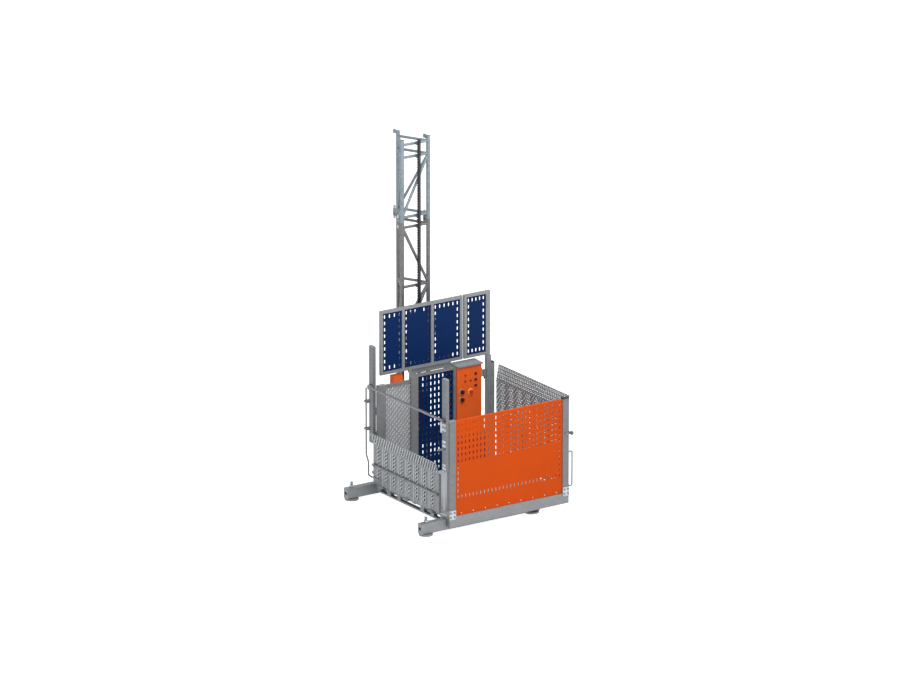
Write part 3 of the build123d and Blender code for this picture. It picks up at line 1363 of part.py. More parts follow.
def model():
    """Every node with its solids."""
    nodes = {
        "base_front_beam": base_beam(FRONT_BEAM_Y),
        "base_rear_beam": base_beam(REAR_BEAM_Y),
        "base_side_rails": side_rails(),
        "landing_buffers": landing_buffers(),
        "mast_base": mast_base(),
        "mast_joint_bolts": joint_bolts(),
        "carriage_frame": carriage_frame(),
        "roller_axles": [roller_axle(side, z) for side in (-1, 1) for z in (ROLLER_LOW, ROLLER_HIGH)],
        "drive_gearbox": gearbox(),
        "drive_motor": drive_motor(),
        "drive_pinion": pinion(DRIVE_Z),
        "governor_housing": governor_housing(),
        "governor_pinion": pinion(GOVERNOR_Z),
        "floor_frame": floor_frame(),
        "floor_plate": floor_plate(),
        "hinge_pins": hinge_pins() + [gate_pin()] + door_hinge_pins(),
        "front_apron": front_apron(),
        "front_posts": front_posts(),
        "front_panel": front_panel(),
        "post_caps": post_caps(),
        "rear_frame": rear_frame(),
        "grey_mesh_panels": grey_mesh_panels(),
        "upper_guard_frame": upper_guard_frame(),
        "blue_sheets": [blue_lower_panel()] + upper_guard_sheets(),
        "mast_gate_frame": mast_gate_frame(),
        "mast_gate_sheet": mast_gate_sheet(),
        "cabinet_housing": cabinet_housing(),
        "cabinet_hood": cabinet_hood(),
        "cabinet_switchgear": switchgear(),
        "cabinet_door": cabinet_door(),
        "control_bezels": control_bezels(),
        "emergency_stop": emergency_stop(),
        "ramp_panel": ramp_panel(),
        "ramp_bar": ramp_bar(),
        "ramp_push_rod": push_rod(),
        "flap_panel": flap_panel(),
        "flap_latch": flap_latch(),
        "flap_handle": flap_handle(),
        "gate_posts": gate_posts(),
        "barrier_bar": barrier_bar(),
        "barrier_latch": barrier_latch(),
        "stay_chain": stay_chain(),
        "junction_box": junction_box(),
    }
    z = MAST_Z
    racks = []
    for name, teeth in zip(("lower", "middle", "top"), SECTIONS):
        nodes[f"mast_section_{name}"] = mast_section(z, teeth * PITCH)
        racks.append(rack_length(z, teeth))
        z += teeth * PITCH
    nodes["mast_rack"] = racks
    for y, depth in ((FRONT_BEAM_Y, "front"), (REAR_BEAM_Y, "rear")):
        for x, side in zip(FEET_X, ("left", "right")):
            nodes[f"foot_{depth}_{side}"] = levelling_foot(x, y)
    for z, level in ((ROLLER_LOW, "lower"), (ROLLER_HIGH, "upper")):
        for sign, side in ((-1, "left"), (1, "right")):
            nodes[f"roller_{level}_{side}"] = guide_roller(sign, z)
    for name, spot in zip(("up", "down", "call"), button_spots()):
        nodes[f"button_{name}"] = push_button(spot)
    for name, spot in zip(("selector_switch", "main_switch"), switch_spots()):
        nodes[name] = rotary_switch(spot)
    return nodes


os.makedirs("parts", exist_ok=True)
for node_name, node_solids in model().items():
    save(node_name, node_solids)
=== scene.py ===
import json
import logging
import math
from dataclasses import dataclass
from enum import Enum
from functools import cache, partial

import bmesh
import bpy
from bpy.types import Material, Mesh, Node, NodeSocket, NodeTree, Object
from mathutils import Matrix, Vector


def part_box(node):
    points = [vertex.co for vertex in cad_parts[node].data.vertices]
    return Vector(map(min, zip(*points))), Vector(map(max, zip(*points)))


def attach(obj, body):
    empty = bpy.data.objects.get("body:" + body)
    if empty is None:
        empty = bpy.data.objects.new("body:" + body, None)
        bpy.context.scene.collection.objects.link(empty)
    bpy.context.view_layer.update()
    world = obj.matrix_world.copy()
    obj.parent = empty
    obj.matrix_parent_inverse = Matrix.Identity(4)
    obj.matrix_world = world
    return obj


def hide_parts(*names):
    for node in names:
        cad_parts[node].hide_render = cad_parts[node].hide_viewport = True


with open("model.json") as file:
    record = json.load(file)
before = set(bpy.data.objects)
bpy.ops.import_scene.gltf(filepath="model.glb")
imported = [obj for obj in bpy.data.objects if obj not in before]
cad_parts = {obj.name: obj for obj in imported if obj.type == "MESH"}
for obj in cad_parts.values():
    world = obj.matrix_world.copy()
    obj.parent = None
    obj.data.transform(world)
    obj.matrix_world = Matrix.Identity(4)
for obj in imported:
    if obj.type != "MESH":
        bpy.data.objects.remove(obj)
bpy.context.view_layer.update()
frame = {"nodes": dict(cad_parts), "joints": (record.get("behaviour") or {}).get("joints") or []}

# Looks of the transport platform lift, in metres, in the frame of its solids:
# origin on the mast axis at the ground, X along the front wall, Y towards the mast.

Span = tuple[float, float]
Box = tuple[Span, Span, Span]
Colour = tuple[float, float, float]

QUARTER = math.pi / 2
MERGE = 1e-6  # points nearer than this are one
DIGITS = 5  # decimals that the boxes of solids are rounded to
ROUNDING = 0.49  # corner radius of a slot or link, as a share of its width
SMOOTH, ROUND, FACETED = 35.0, 60.0, 20.0  # largest angles that are shaded smooth, in degrees
SOFT_EDGE, EDGE_SEGMENTS = 0.001, 2  # bevel of small fittings, and the segments of every bevel
BAR_SIDES, RING_SIDES, WASHER_SIDES, WIRE_SIDES, HEXAGON = 32, 40, 16, 8, 6
LINK_CORNER = 5  # points on each corner of a chain link
BUMP_SEGMENTS, BUMP_RINGS = 8, 5  # facets of a tread bump
WHITE = (1.0, 1.0, 1.0, 1.0)

log = logging.getLogger("lift")


def srgb(red: int, green: int, blue: int) -> Colour:
    """Linear colour of an 8-bit display colour.

    Args:
        red: red channel, 0 to 255.
        green: green channel, 0 to 255.
        blue: blue channel, 0 to 255.

    Returns:
        The colour as linear floats.
    """
    def linear(value: int) -> float:
        """One channel without its display curve."""
        share = value / 255
        return share / 12.92 if share <= 0.04045 else ((share + 0.055) / 1.055) ** 2.4

    return linear(red), linear(green), linear(blue)


def spans(node: str) -> Box:
    """Spans on X, Y and Z of a solid's node."""
    return tuple(zip(*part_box(node)))


def middle_of(box: Box) -> Vector:
    """Middle of a box."""
    return Vector(tuple(sum(side) / 2 for side in box))


def spread(first: float, last: float, count: int) -> list[float]:
    """Evenly spaced values from first to last."""
    return [first + (last - first) * number / (count - 1) for number in range(count)]


def around(middle: float, extent: float) -> Span:
    """Span of an extent about its middle."""
    return middle - extent / 2, middle + extent / 2


class Nodes:
    """Nodes of a tree under construction."""

    def __init__(self, group: NodeTree) -> None:
        """Work on a tree."""
        self.group = group

    def add(self, kind: str, settings: dict | None = None, **inputs: object) -> Node:
        """Add a node, set its properties and feed its inputs.

        Args:
            kind: a shader node's type, or a geometry node's type without its GeometryNode prefix.
            settings: node properties to set first.
            **inputs: what goes into its sockets, as for feed.

        Returns:
            The new node.
        """
        node = self.group.nodes.new(kind if kind.startswith("ShaderNode") else f"GeometryNode{kind}")
        for key, value in (settings or {}).items():
            setattr(node, key, value)
        self.feed(node, **inputs)
        return node

    def feed(self, node: Node, **inputs: object) -> None:
        """Link a node's inputs or set constants on them.

        Args:
            node: the node.
            **inputs: socket names, underscores for spaces, with a node, a socket, a list of these or a
                constant each.
        """
        for key, value in inputs.items():
            socket = self._socket(node, key)
            for item in value if isinstance(value, list) else [value]:
                source = self.out(item) if isinstance(item, Node) else item
                if isinstance(source, NodeSocket):
                    self.group.links.new(source, socket)
                else:
                    socket.default_value = source

    def _socket(self, node: Node, key: str) -> NodeSocket:
        """Input socket by name or by number.

        Args:
            node: the node.
            key: name with underscores for spaces, or s and a number.

        Returns:
            The socket.
        """
        if key[0] == "s" and key[1:].isdigit():
            return node.inputs[int(key[1:])]
        wanted = key.replace("_", " ")
        return next(item for item in node.inputs if item.name == wanted and item.enabled)

    def out(self, node: Node) -> NodeSocket:
        """First enabled output of a node."""
        return next(item for item in node.outputs if item.enabled)

    def math(self, operation: str, first: object, second: object) -> NodeSocket:
        """Result of a scalar operation."""
        return self.out(self.add("ShaderNodeMath", {"operation": operation}, s0=first, s1=second))

    def vector(self, x: object = 0.0, y: object = 0.0, z: object = 0.0) -> NodeSocket:
        """Vector from three values."""
        return self.out(self.add("ShaderNodeCombineXYZ", X=x, Y=y, Z=z))


class Grain(Enum):
    """Procedural patterns that a finish can carry."""

    SPANGLE = "spangle"
    CLOUD = "cloud"
    DRAWN = "drawn"


@dataclass(frozen=True)
class Finish:
    """A surface finish made from procedural nodes on Object coordinates."""

    name: str
    slot: str
    colour: Colour
    roughness: float
    metallic: float = 0.0
    contrast: float = 0.1
    scale: float = 6.0
    bump: float = 0.0
    gloss: float = 0.5
    grain: Grain = Grain.CLOUD

    EVEN, STRETCHED = (1.0, 1.0, 1.0), (1.0, 1.0, 0.08)
    CLOUD_DETAIL, CLOUD_ROUGHNESS, CLOUD_EDGES = 5.0, 0.6, (0.3, 0.7)
    DULLER, SHINIER, SHINIEST = 0.1, 0.08, 0.05
    CRYSTALS, CRYSTAL_SHARE = 9, 0.45
    FINE, FINE_DETAIL, FINE_DEPTH = 40, 2.0, 0.001

    def material(self) -> Material:
        """The finish's material, made on first use."""
        found = bpy.data.materials.get(self.name)
        return found if found else self._make()

    def _shade(self, factor: float) -> tuple[float, float, float, float]:
        """The colour scaled by a factor, held at white."""
        return (*(min(channel * factor, 1.0) for channel in self.colour), 1.0)

    def _make(self) -> Material:
        """Build the finish's nodes: mottled colour and roughness, and a fine bump.

        Returns:
            The new material.
        """
        made = bpy.data.materials.new(self.name)
        made.use_nodes = True
        made.diffuse_color = self._shade(1.0)
        nodes = Nodes(made.node_tree)
        shader = nodes.group.nodes["Principled BSDF"]
        nodes.feed(shader, Base_Color=self._shade(1.0), Metallic=self.metallic, Roughness=self.roughness,
                   Specular_IOR_Level=self.gloss)
        spot = nodes.add("ShaderNodeTexCoord").outputs["Object"]
        stretch = self.STRETCHED if self.grain is Grain.DRAWN else self.EVEN
        mapping = nodes.add("ShaderNodeMapping", Vector=spot, Scale=stretch)
        cloud = nodes.add("ShaderNodeTexNoise", Vector=mapping, Scale=self.scale, Detail=self.CLOUD_DETAIL,
                          Roughness=self.CLOUD_ROUGHNESS)
        pattern = self._spangle(nodes, mapping, cloud) if self.grain is Grain.SPANGLE else cloud
        ramp = nodes.add("ShaderNodeValToRGB", Fac=pattern)
        tones = (self._shade(1.0 - self.contrast), self._shade(1.0 + self.contrast))
        for stop, position, tone in zip(ramp.color_ramp.elements, self.CLOUD_EDGES, tones):
            stop.position = position
            stop.color = tone
        shiny = max(self.roughness - self.SHINIER, self.SHINIEST)
        dull = min(self.roughness + self.DULLER, 1.0)
        level = nodes.add("ShaderNodeMapRange", Value=cloud, To_Min=shiny, To_Max=dull)
        nodes.feed(shader, Base_Color=ramp, Roughness=level)
        if self.bump > 0:
            fine = nodes.add("ShaderNodeTexNoise", Vector=spot, Scale=self.scale * self.FINE,
                             Detail=self.FINE_DETAIL)
            relief = nodes.add("ShaderNodeBump", Strength=self.bump, Distance=self.FINE_DEPTH, Height=fine)
            nodes.feed(shader, Normal=relief)
        return made

    def _spangle(self, nodes: Nodes, mapping: Node, cloud: Node) -> Node:
        """Zinc crystals mixed with the cloud.

        Args:
            nodes: the material's nodes.
            mapping: node that gives the coordinates.
            cloud: the noise node to mix with.

        Returns:
            The node with the mixed value.
        """
        cells = nodes.add("ShaderNodeTexVoronoi", Vector=mapping, Scale=self.scale * self.CRYSTALS)
        split = nodes.add("ShaderNodeSeparateColor", Color=cells.outputs["Color"])
        return nodes.add("ShaderNodeMix", Factor=self.CRYSTAL_SHARE, A=cloud, B=split)


spangled = partial(Finish, grain=Grain.SPANGLE)
ZINC = spangled("galvanised_steel", "galvanised", srgb(127, 131, 134), 0.48, 0.3, 0.07, 5.0, 0.04)
ZINC_PALE = spangled("pale_zinc_sheet", "galvanised", srgb(158, 162, 165), 0.5, 0.25, 0.07, 5.0, 0.04)
# A darker copy of the galvanised finish.
ZINC_DARK = spangled("weathered_zinc", "galvanised", srgb(113, 116, 119), 0.52, 0.3, 0.08, 5.0, 0.04)
ZINC_BRIGHT = spangled("bright_zinc", "galvanised", srgb(178, 185, 190), 0.36, 0.4, 0.08, 9.0)
# Brighter copy of the zinc: painted highlight on the grip lips and the ramp's plank seams, and painted light
# on the shaded floor plate and its tread.
ZINC_PAINTED_LIGHT = spangled("grip_edge", "galvanised", srgb(204, 210, 214), 0.4, 0.2, 0.06, 9.0)
MAST_GREY = spangled("mast_tube", "mast_steel", srgb(106, 107, 109), 0.45, 0.35, 0.14, 4.0, 0.04)
MAST_PALE = spangled("mast_tube_pale", "mast_steel", srgb(118, 131, 138), 0.42, 0.35, 0.12, 4.0, 0.04)
RACK = Finish("greased_rack", "rack_steel", srgb(48, 48, 51), 0.38, 0.5, 0.25, 14.0)
# One orange paint in two copies: the lighter one on the door and box is painted light, the darker one on the
# front wall is painted shade.
ORANGE = Finish("orange_coat", "orange_paint", srgb(218, 90, 30), 0.5, 0.0, 0.04, 2.5, 0.03, 0.2)
ORANGE_WALL_PAINTED_SHADE = Finish("orange_wall_painted_shade", "orange_paint", srgb(196, 72, 6), 0.55, 0.0, 0.04, 2.5, 0.03, 0.1)
BLUE = Finish("blue_coat", "blue_paint", srgb(0, 33, 78), 0.5, 0.0, 0.08, 2.5, 0.03, 0.1)
MOTOR_RED = Finish("motor_enamel", "motor_paint", srgb(150, 48, 34), 0.45, 0.0, 0.1, 8.0, 0.06)
MACHINE_GREY = Finish("grey_enamel", "machine_grey", srgb(146, 148, 150), 0.45, 0.1, 0.06, 5.0, 0.04)
# Dark finish of the lips behind the slots of the side leaves: painted shade that darkens the slots.
SLOT_SHADE = Finish("painted_slot_shade", "galvanised", srgb(46, 48, 50), 0.8, 0.0, 0.1, 8.0, 0.0, 0.1)
DARK_STEEL = Finish("dark_steel", "dark_steel", srgb(70, 73, 76), 0.4, 0.5, 0.18, 40.0, grain=Grain.DRAWN)
BLACK = Finish("black_moulding", "black_plastic", srgb(24, 24, 26), 0.5, 0.0, 0.2, 30.0, 0.06)
RED = Finish("red_moulding", "red_plastic", srgb(196, 24, 18), 0.32, 0.0, 0.06, 30.0)
YELLOW = Finish("yellow_ring", "red_plastic", srgb(250, 190, 84), 0.35, 0.0, 0.05, 30.0)
RUBBER = Finish("moulded_rubber", "rubber", srgb(36, 36, 37), 0.75, 0.0, 0.2, 20.0, 0.1)
MAROON = Finish("maroon_moulding", "black_plastic", srgb(64, 20, 17), 0.4, 0.0, 0.1, 30.0)
PALE_PLASTIC = Finish("pale_moulding", "black_plastic", srgb(176, 178, 178), 0.45, 0.0, 0.05, 30.0)
SMOKED_LENS = Finish("smoked_lens", "red_plastic", srgb(96, 30, 22), 0.25, 0.0, 0.05, 30.0)


class Tree(Nodes):
    """A Geometry Nodes tree under construction, with named inputs."""

    def __init__(self, name: str) -> None:
        """Start an empty tree with a geometry output.

        Args:
            name: name of the node group.
        """
        super().__init__(bpy.data.node_groups.new(name, "GeometryNodeTree"))
        self.group.interface.new_socket("Geometry", in_out="OUTPUT", socket_type="NodeSocketGeometry")
        self.inputs = self.group.nodes.new("NodeGroupInput")
        self.outputs = self.group.nodes.new("NodeGroupOutput")

    def size(self, name: str, kind: str = "Float") -> NodeSocket:
        """Add a named input of a kind such as Float, Int or Vector, and give its socket."""
        self.group.interface.new_socket(name, in_out="INPUT", socket_type=f"NodeSocket{kind}")
        return self.inputs.outputs[name]

    def slot(self, width: object, height: object, corner: object) -> Node:
        """Outline of a slot with rounded ends.

        Args:
            width: its width.
            height: its height.
            corner: number of points on each corner.

        Returns:
            The node with the curve.
        """
        outline = self.add("CurvePrimitiveQuadrilateral", {"mode": "RECTANGLE"}, Width=width, Height=height)
        bend = self.math("MULTIPLY", self.math("MINIMUM", width, height), ROUNDING)
        return self.add("FilletCurve", {"mode": "POLY"}, Curve=outline, Count=corner, Radius=bend)

    def repeat(self, points: object, instance: object, turn: object) -> Node:
        """Instances of a geometry at points, each with its turn."""
        return self.add("InstanceOnPoints", Points=points, Instance=instance, Rotation=turn)

    def finish(self, geometry: object) -> NodeTree:
        """Realise, set the material of the input Finish and end the tree.

        Args:
            geometry: node or socket with the geometry.

        Returns:
            The finished node group.
        """
        real = self.add("RealizeInstances", Geometry=geometry)
        dressed = self.add("SetMaterial", Geometry=real, Material=self.size("Finish", "Material"))
        self.feed(self.outputs, Geometry=dressed)
        return self.group

    def stand(self, geometry: object) -> NodeTree:
        """Turn and move a geometry by the inputs Turn and Place, and end the tree."""
        shift, turn = self.size("Place", "Vector"), self.size("Turn", "Vector")
        return self.finish(self.add("Transform", Geometry=geometry, Translation=shift, Rotation=turn))


def grown(name: str, tree: NodeTree, values: dict[str, object],
          points: list[Vector] | None = None) -> Mesh:
    """Evaluate a tree to a plain mesh.

    Args:
        name: name of the mesh.
        tree: the node group.
        values: input names with their values.
        points: vertices handed to the tree as its geometry.

    Returns:
        The evaluated mesh, in place.
    """
    carrier_mesh = bpy.data.meshes.new(f"{name}_points")
    carrier_mesh.from_pydata([tuple(point) for point in points or []], [], [])
    carrier = bpy.data.objects.new(f"{name}_carrier", carrier_mesh)
    bpy.context.scene.collection.objects.link(carrier)
    modifier = carrier.modifiers.new("shape", "NODES")
    modifier.node_group = tree
    for item in tree.interface.items_tree:
        if item.in_out == "INPUT" and item.name in values:
            modifier[item.identifier] = values[item.name]
    bpy.context.view_layer.update()
    graph = bpy.context.evaluated_depsgraph_get()
    mesh = bpy.data.meshes.new_from_object(carrier.evaluated_get(graph), depsgraph=graph)
    mesh.name = name
    carrier.modifiers.remove(modifier)
    bpy.data.objects.remove(carrier)
    bpy.data.meshes.remove(carrier_mesh)
    return mesh


class Shape:
    """A mesh piece put together from plain forms, in place."""

    def __init__(self, *meshes: Mesh) -> None:
        """Start with finished meshes, or with nothing.

        Args:
            *meshes: meshes to take up and drop.
        """
        self.mesh = bmesh.new()
        for mesh in meshes:
            self.mesh.from_mesh(mesh)
            bpy.data.meshes.remove(mesh)

    def box(self, x: Span, y: Span, z: Span) -> None:
        """Add a box.

        Args:
            x: low and high X.
            y: low and high Y.
            z: low and high Z.
        """
        size = (x[1] - x[0], y[1] - y[0], z[1] - z[0], 1.0)
        place = Matrix.Translation(middle_of((x, y, z))) @ Matrix.Diagonal(size)
        bmesh.ops.create_cube(self.mesh, size=1.0, matrix=place)

    def bar(self, start: Vector, end: Vector, radius: float) -> None:
        """Add a round bar.

        Args:
            start: middle of the first end.
            end: middle of the second end.
            radius: its radius.
        """
        start, end = Vector(start), Vector(end)
        line = end - start
        place = Matrix.Translation((start + end) / 2) @ line.to_track_quat("Z", "Y").to_matrix().to_4x4()
        bmesh.ops.create_cone(self.mesh, cap_ends=True, segments=BAR_SIDES, radius1=radius, radius2=radius,
                              depth=line.length, matrix=place)

    def ring(self, start: Vector, end: Vector, radius: float, hole: float,
             sides: int = RING_SIDES) -> None:
        """Add a ring with a round hole.

        Args:
            start: middle of the first face.
            end: middle of the second face.
            radius: outer radius.
            hole: radius of the hole.
            sides: number of sides.
        """
        start, end = Vector(start), Vector(end)
        turn = (end - start).to_track_quat("Z", "Y")
        angles = [2 * math.pi * step / sides for step in range(sides)]
        rays = [turn @ Vector((math.cos(angle), math.sin(angle), 0)) for angle in angles]
        loops = [[self.mesh.verts.new(middle + ray * reach) for ray in rays]
                 for middle, reach in ((start, hole), (start, radius), (end, radius), (end, hole))]
        for first, second in zip(loops, loops[1:] + loops[:1]):
            for step in range(sides):
                after = (step + 1) % sides
                self.mesh.faces.new((first[step], first[after], second[after], second[step]))

    def fit(self, name: str, body: str, finish: Finish, *nodes: str, bevel: float = 0.0,
            smooth: float = SMOOTH) -> None:
        """Turn the forms into a piece and put it on its body.

        Args:
            name: name of the piece.
            body: body that carries it.
            finish: finish of the whole piece, whose material fills its material slot.
            *nodes: solids that it replaces.
            bevel: width of the bevel on its sharp edges.
            smooth: largest angle in degrees that is shaded smooth.
        """
        bmesh.ops.recalc_face_normals(self.mesh, faces=self.mesh.faces)
        mesh = bpy.data.meshes.new(name)
        self.mesh.to_mesh(mesh)
        self.mesh.free()
        mesh.materials.clear()
        mesh.materials.append(finish.material())
        for polygon in mesh.polygons:
            polygon.material_index = 0
        mesh.shade_smooth()
        mesh.set_sharp_from_angle(angle=math.radians(smooth))
        piece = bpy.data.objects.new(name, mesh)
        bpy.context.scene.collection.objects.link(piece)
        if bevel > 0:
            edge = piece.modifiers.new("edge", "BEVEL")
            edge.width = bevel
            edge.segments = EDGE_SEGMENTS
            edge.limit_method = "ANGLE"
        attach(piece, body)
        if nodes:
            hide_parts(*nodes)
        log.info("%s rides on %s%s", piece.name, body, f", for {', '.join(nodes)}" if nodes else "")


def solids_of(mesh: bmesh.types.BMesh) -> list[list[bmesh.types.BMVert]]:
    """Vertices of each separate solid of a merged mesh.

    Args:
        mesh: the mesh, with its doubles merged.

    Returns:
        One list of vertices for each solid.
    """
    waiting = dict.fromkeys(mesh.verts)
    groups = []
    while waiting:
        edge = [waiting.popitem()[0]]
        found = []
        while edge:
            vert = edge.pop()
            found.append(vert)
            for link in vert.link_edges:
                other = link.other_vert(vert)
                if other in waiting:
                    del waiting[other]
                    edge.append(other)
        groups.append(found)
    return groups


def box_of(group: list[bmesh.types.BMVert]) -> Box:
    """Spans on X, Y and Z of some vertices."""
    sides = [[round(vert.co[axis], DIGITS) for vert in group] for axis in range(3)]
    return tuple((min(side), max(side)) for side in sides)


def cut_apart(node: str) -> list[tuple[Box, Shape]]:
    """Copies of the separate solids of a node.

    Args:
        node: name of the node.

    Returns:
        The box and the shape of each solid, from the lowest X on.
    """
    whole = bmesh.new()
    whole.from_mesh(frame["nodes"][node].data)
    bmesh.ops.remove_doubles(whole, verts=whole.verts, dist=MERGE)
    found = []
    for group in solids_of(whole):
        solid = Shape()
        copies = {vert: solid.mesh.verts.new(vert.co) for vert in group}
        for face in dict.fromkeys(face for vert in group for face in vert.link_faces):
            solid.mesh.faces.new([copies[vert] for vert in face.verts])
        found.append((box_of(group), solid))
    whole.free()
    return sorted(found, key=lambda item: item[0])


def islands(node: str) -> list[Box]:
    """Boxes of the separate solids of a node, from the lowest X on."""
    return [box for box, solid in cut_apart(node)]


@cache
def sheet_tree() -> NodeTree:
    """Tree of a flat sheet with rounded slots cut at the points that it is handed.

    Returns:
        The node group, with its sheet in the local XY plane before it is turned and moved.
    """
    tree = Tree("perforated_sheet")
    centres = tree.size("Slot Centres", "Geometry")
    hole = tree.slot(tree.size("Slot Width"), tree.size("Slot Height"), tree.size("Corner Points", "Int"))
    holes = tree.repeat(centres, hole, tree.vector(z=tree.size("Tilt")))
    real = tree.add("RealizeInstances", Geometry=holes)
    outline = tree.add("CurvePrimitiveQuadrilateral", {"mode": "RECTANGLE"}, Width=tree.size("Width"),
                       Height=tree.size("Height"))
    lines = tree.add("JoinGeometry", Geometry=[real, outline])
    face = tree.add("FillCurve", {"mode": "TRIANGLES"}, Curve=lines)
    front = tree.add("ExtrudeMesh", {"mode": "FACES"}, Mesh=face, Offset_Scale=tree.size("Thickness"),
                     Individual=False)
    back = tree.add("FlipFaces", Mesh=face)
    both = tree.add("JoinGeometry", Geometry=[front.outputs["Mesh"], back])
    return tree.stand(tree.add("MergeByDistance", Geometry=both, Distance=MERGE))


@cache
def lip_tree() -> NodeTree:
    """Tree of the raised lips beside the slots of a sheet, at the points that it is handed.

    Returns:
        The node group, with its lips on the local XY plane before they are turned and moved.
    """
    tree = Tree("grip_lips")
    centres = tree.size("Slot Centres", "Geometry")
    size = tree.vector(tree.size("Lip Width"), tree.size("Lip Height"), tree.size("Rise"))
    bar = tree.add("MeshCube", Size=size).outputs["Mesh"]
    beside = tree.add("Transform", Geometry=bar, Translation=tree.vector(tree.size("Aside")))
    lips = tree.repeat(centres, beside, tree.vector(z=tree.size("Tilt")))
    return tree.stand(tree.add("RealizeInstances", Geometry=lips))


@cache
def bolt_tree() -> NodeTree:
    """Tree of hexagon bolt heads on washers at the points that it is handed.

    Returns:
        The node group.
    """
    tree = Tree("bolt_heads")
    spots = tree.size("Spots", "Geometry")
    forms, foot = [], 0.0
    for part, sides in (("Washer", WASHER_SIDES), ("Head", HEXAGON)):
        radius, height = tree.size(f"{part} Radius"), tree.size(f"{part} Height")
        disc = tree.add("MeshCylinder", Vertices=sides, Radius=radius, Depth=height).outputs["Mesh"]
        lift = tree.math("ADD", foot, tree.math("MULTIPLY", height, 0.5))
        forms.append(tree.add("Transform", Geometry=disc, Translation=tree.vector(z=lift)))
        foot = height
    bolt = tree.add("JoinGeometry", Geometry=forms)
    return tree.finish(tree.repeat(spots, bolt, tree.size("Turn", "Vector")))


@cache
def chain_tree() -> NodeTree:
    """Tree of round-wire links, each turned a quarter from the last, down from a point.

    Returns:
        The node group.
    """
    tree = Tree("chain_links")
    oval = tree.slot(tree.size("Link Width"), tree.size("Link Length"), LINK_CORNER)
    rod = tree.add("CurvePrimitiveCircle", Resolution=WIRE_SIDES, Radius=tree.size("Wire Radius"))
    link = tree.add("CurveToMesh", Curve=oval, Profile_Curve=rod.outputs["Curve"])
    stood = tree.add("Transform", Geometry=link, Rotation=(QUARTER, 0.0, 0.0))
    drop = tree.vector(z=tree.math("MULTIPLY", tree.size("Pitch"), -1.0))
    line = tree.add("MeshLine", Count=tree.size("Count", "Int"), Start_Location=tree.size("Start", "Vector"),
                    Offset=drop)
    turn = tree.vector(z=tree.math("MULTIPLY", tree.add("InputIndex"), QUARTER))
    return tree.finish(tree.repeat(line, stood, turn))


@cache
def tread_tree() -> NodeTree:
    """Tree of lens-shaped tread bumps on a deck, turned to and fro.

    Returns:
        The node group.
    """
    tree = Tree("tread_bumps")
    spots = tree.size("Spots", "Geometry")
    size = tree.vector(tree.size("Length"), tree.size("Width"), tree.size("Rise"))
    ball = tree.add("MeshUVSphere", Segments=BUMP_SEGMENTS, Rings=BUMP_RINGS, Radius=1.0).outputs["Mesh"]
    lens = tree.add("Transform", Geometry=ball, Scale=size)
    odd = tree.math("MODULO", tree.add("InputIndex"), 2.0)
    angle = tree.math("ADD", tree.math("MULTIPLY", odd, QUARTER), QUARTER / 2)
    return tree.finish(tree.repeat(spots, lens, tree.vector(z=angle)))


FACING_FRONT = Matrix(((1, 0, 0), (0, 0, -1), (0, 1, 0)))
FACING_RIGHT = Matrix(((0, 0, 1), (1, 0, 0), (0, 1, 0)))


class Pattern(Enum):
    """Where the slots of a sheet are."""

    FIELD = "field"
    BORDER = "border"


@dataclass(frozen=True)
class Slots:
    """Slots of a perforated sheet: size, spacing and plain margin, and the stagger as a share of a row."""

    width: float
    height: float
    pitch_x: float
    pitch_y: float
    tilt: float = 0.0
    stagger: float = 0.0
    corner_points: int = 3
    margin: float = 0.010
    pattern: Pattern = Pattern.FIELD

    def fill(self, width: float, height: float) -> list[Vector]:
        """Slot centres over a whole sheet, about its middle."""
        across, up = width / 2 - self.margin, height / 2 - self.margin
        return self.grid((-across, across), (-up, up))

    def grid(self, across: Span, up: Span) -> list[Vector]:
        """Slot centres spread evenly over a window.

        Args:
            across: window along the sheet's width, edge to edge of the slot field.
            up: window along the sheet's height.

        Returns:
            Centres in the sheet's plane.
        """
        columns = max(int((across[1] - across[0] - self.width) / self.pitch_x) + 1, 2)
        rows = max(int((up[1] - up[0] - self.height) / self.pitch_y - self.stagger) + 1, 2)
        step_x = (across[1] - across[0] - self.width) / (columns - 1)
        step_y = (up[1] - up[0] - self.height) / (rows - 1 + self.stagger)
        centres = []
        for column in range(columns):
            for row in range(rows):
                ring = column in (0, columns - 1) or row in (0, rows - 1)
                if self.pattern is Pattern.FIELD or ring:
                    x = across[0] + self.width / 2 + column * step_x
                    y = up[0] + self.height / 2 + (row + self.stagger * (column % 2)) * step_y
                    centres.append(Vector((x, y, 0)))
        return centres


@dataclass(frozen=True)
class Lip:
    """Width and rise of the pressed lip beside a slot, in metres."""

    width: float
    rise: float


GRIP_LIP = Lip(0.008, 0.004)
BACK_LIP = Lip(0.003, 0.010)


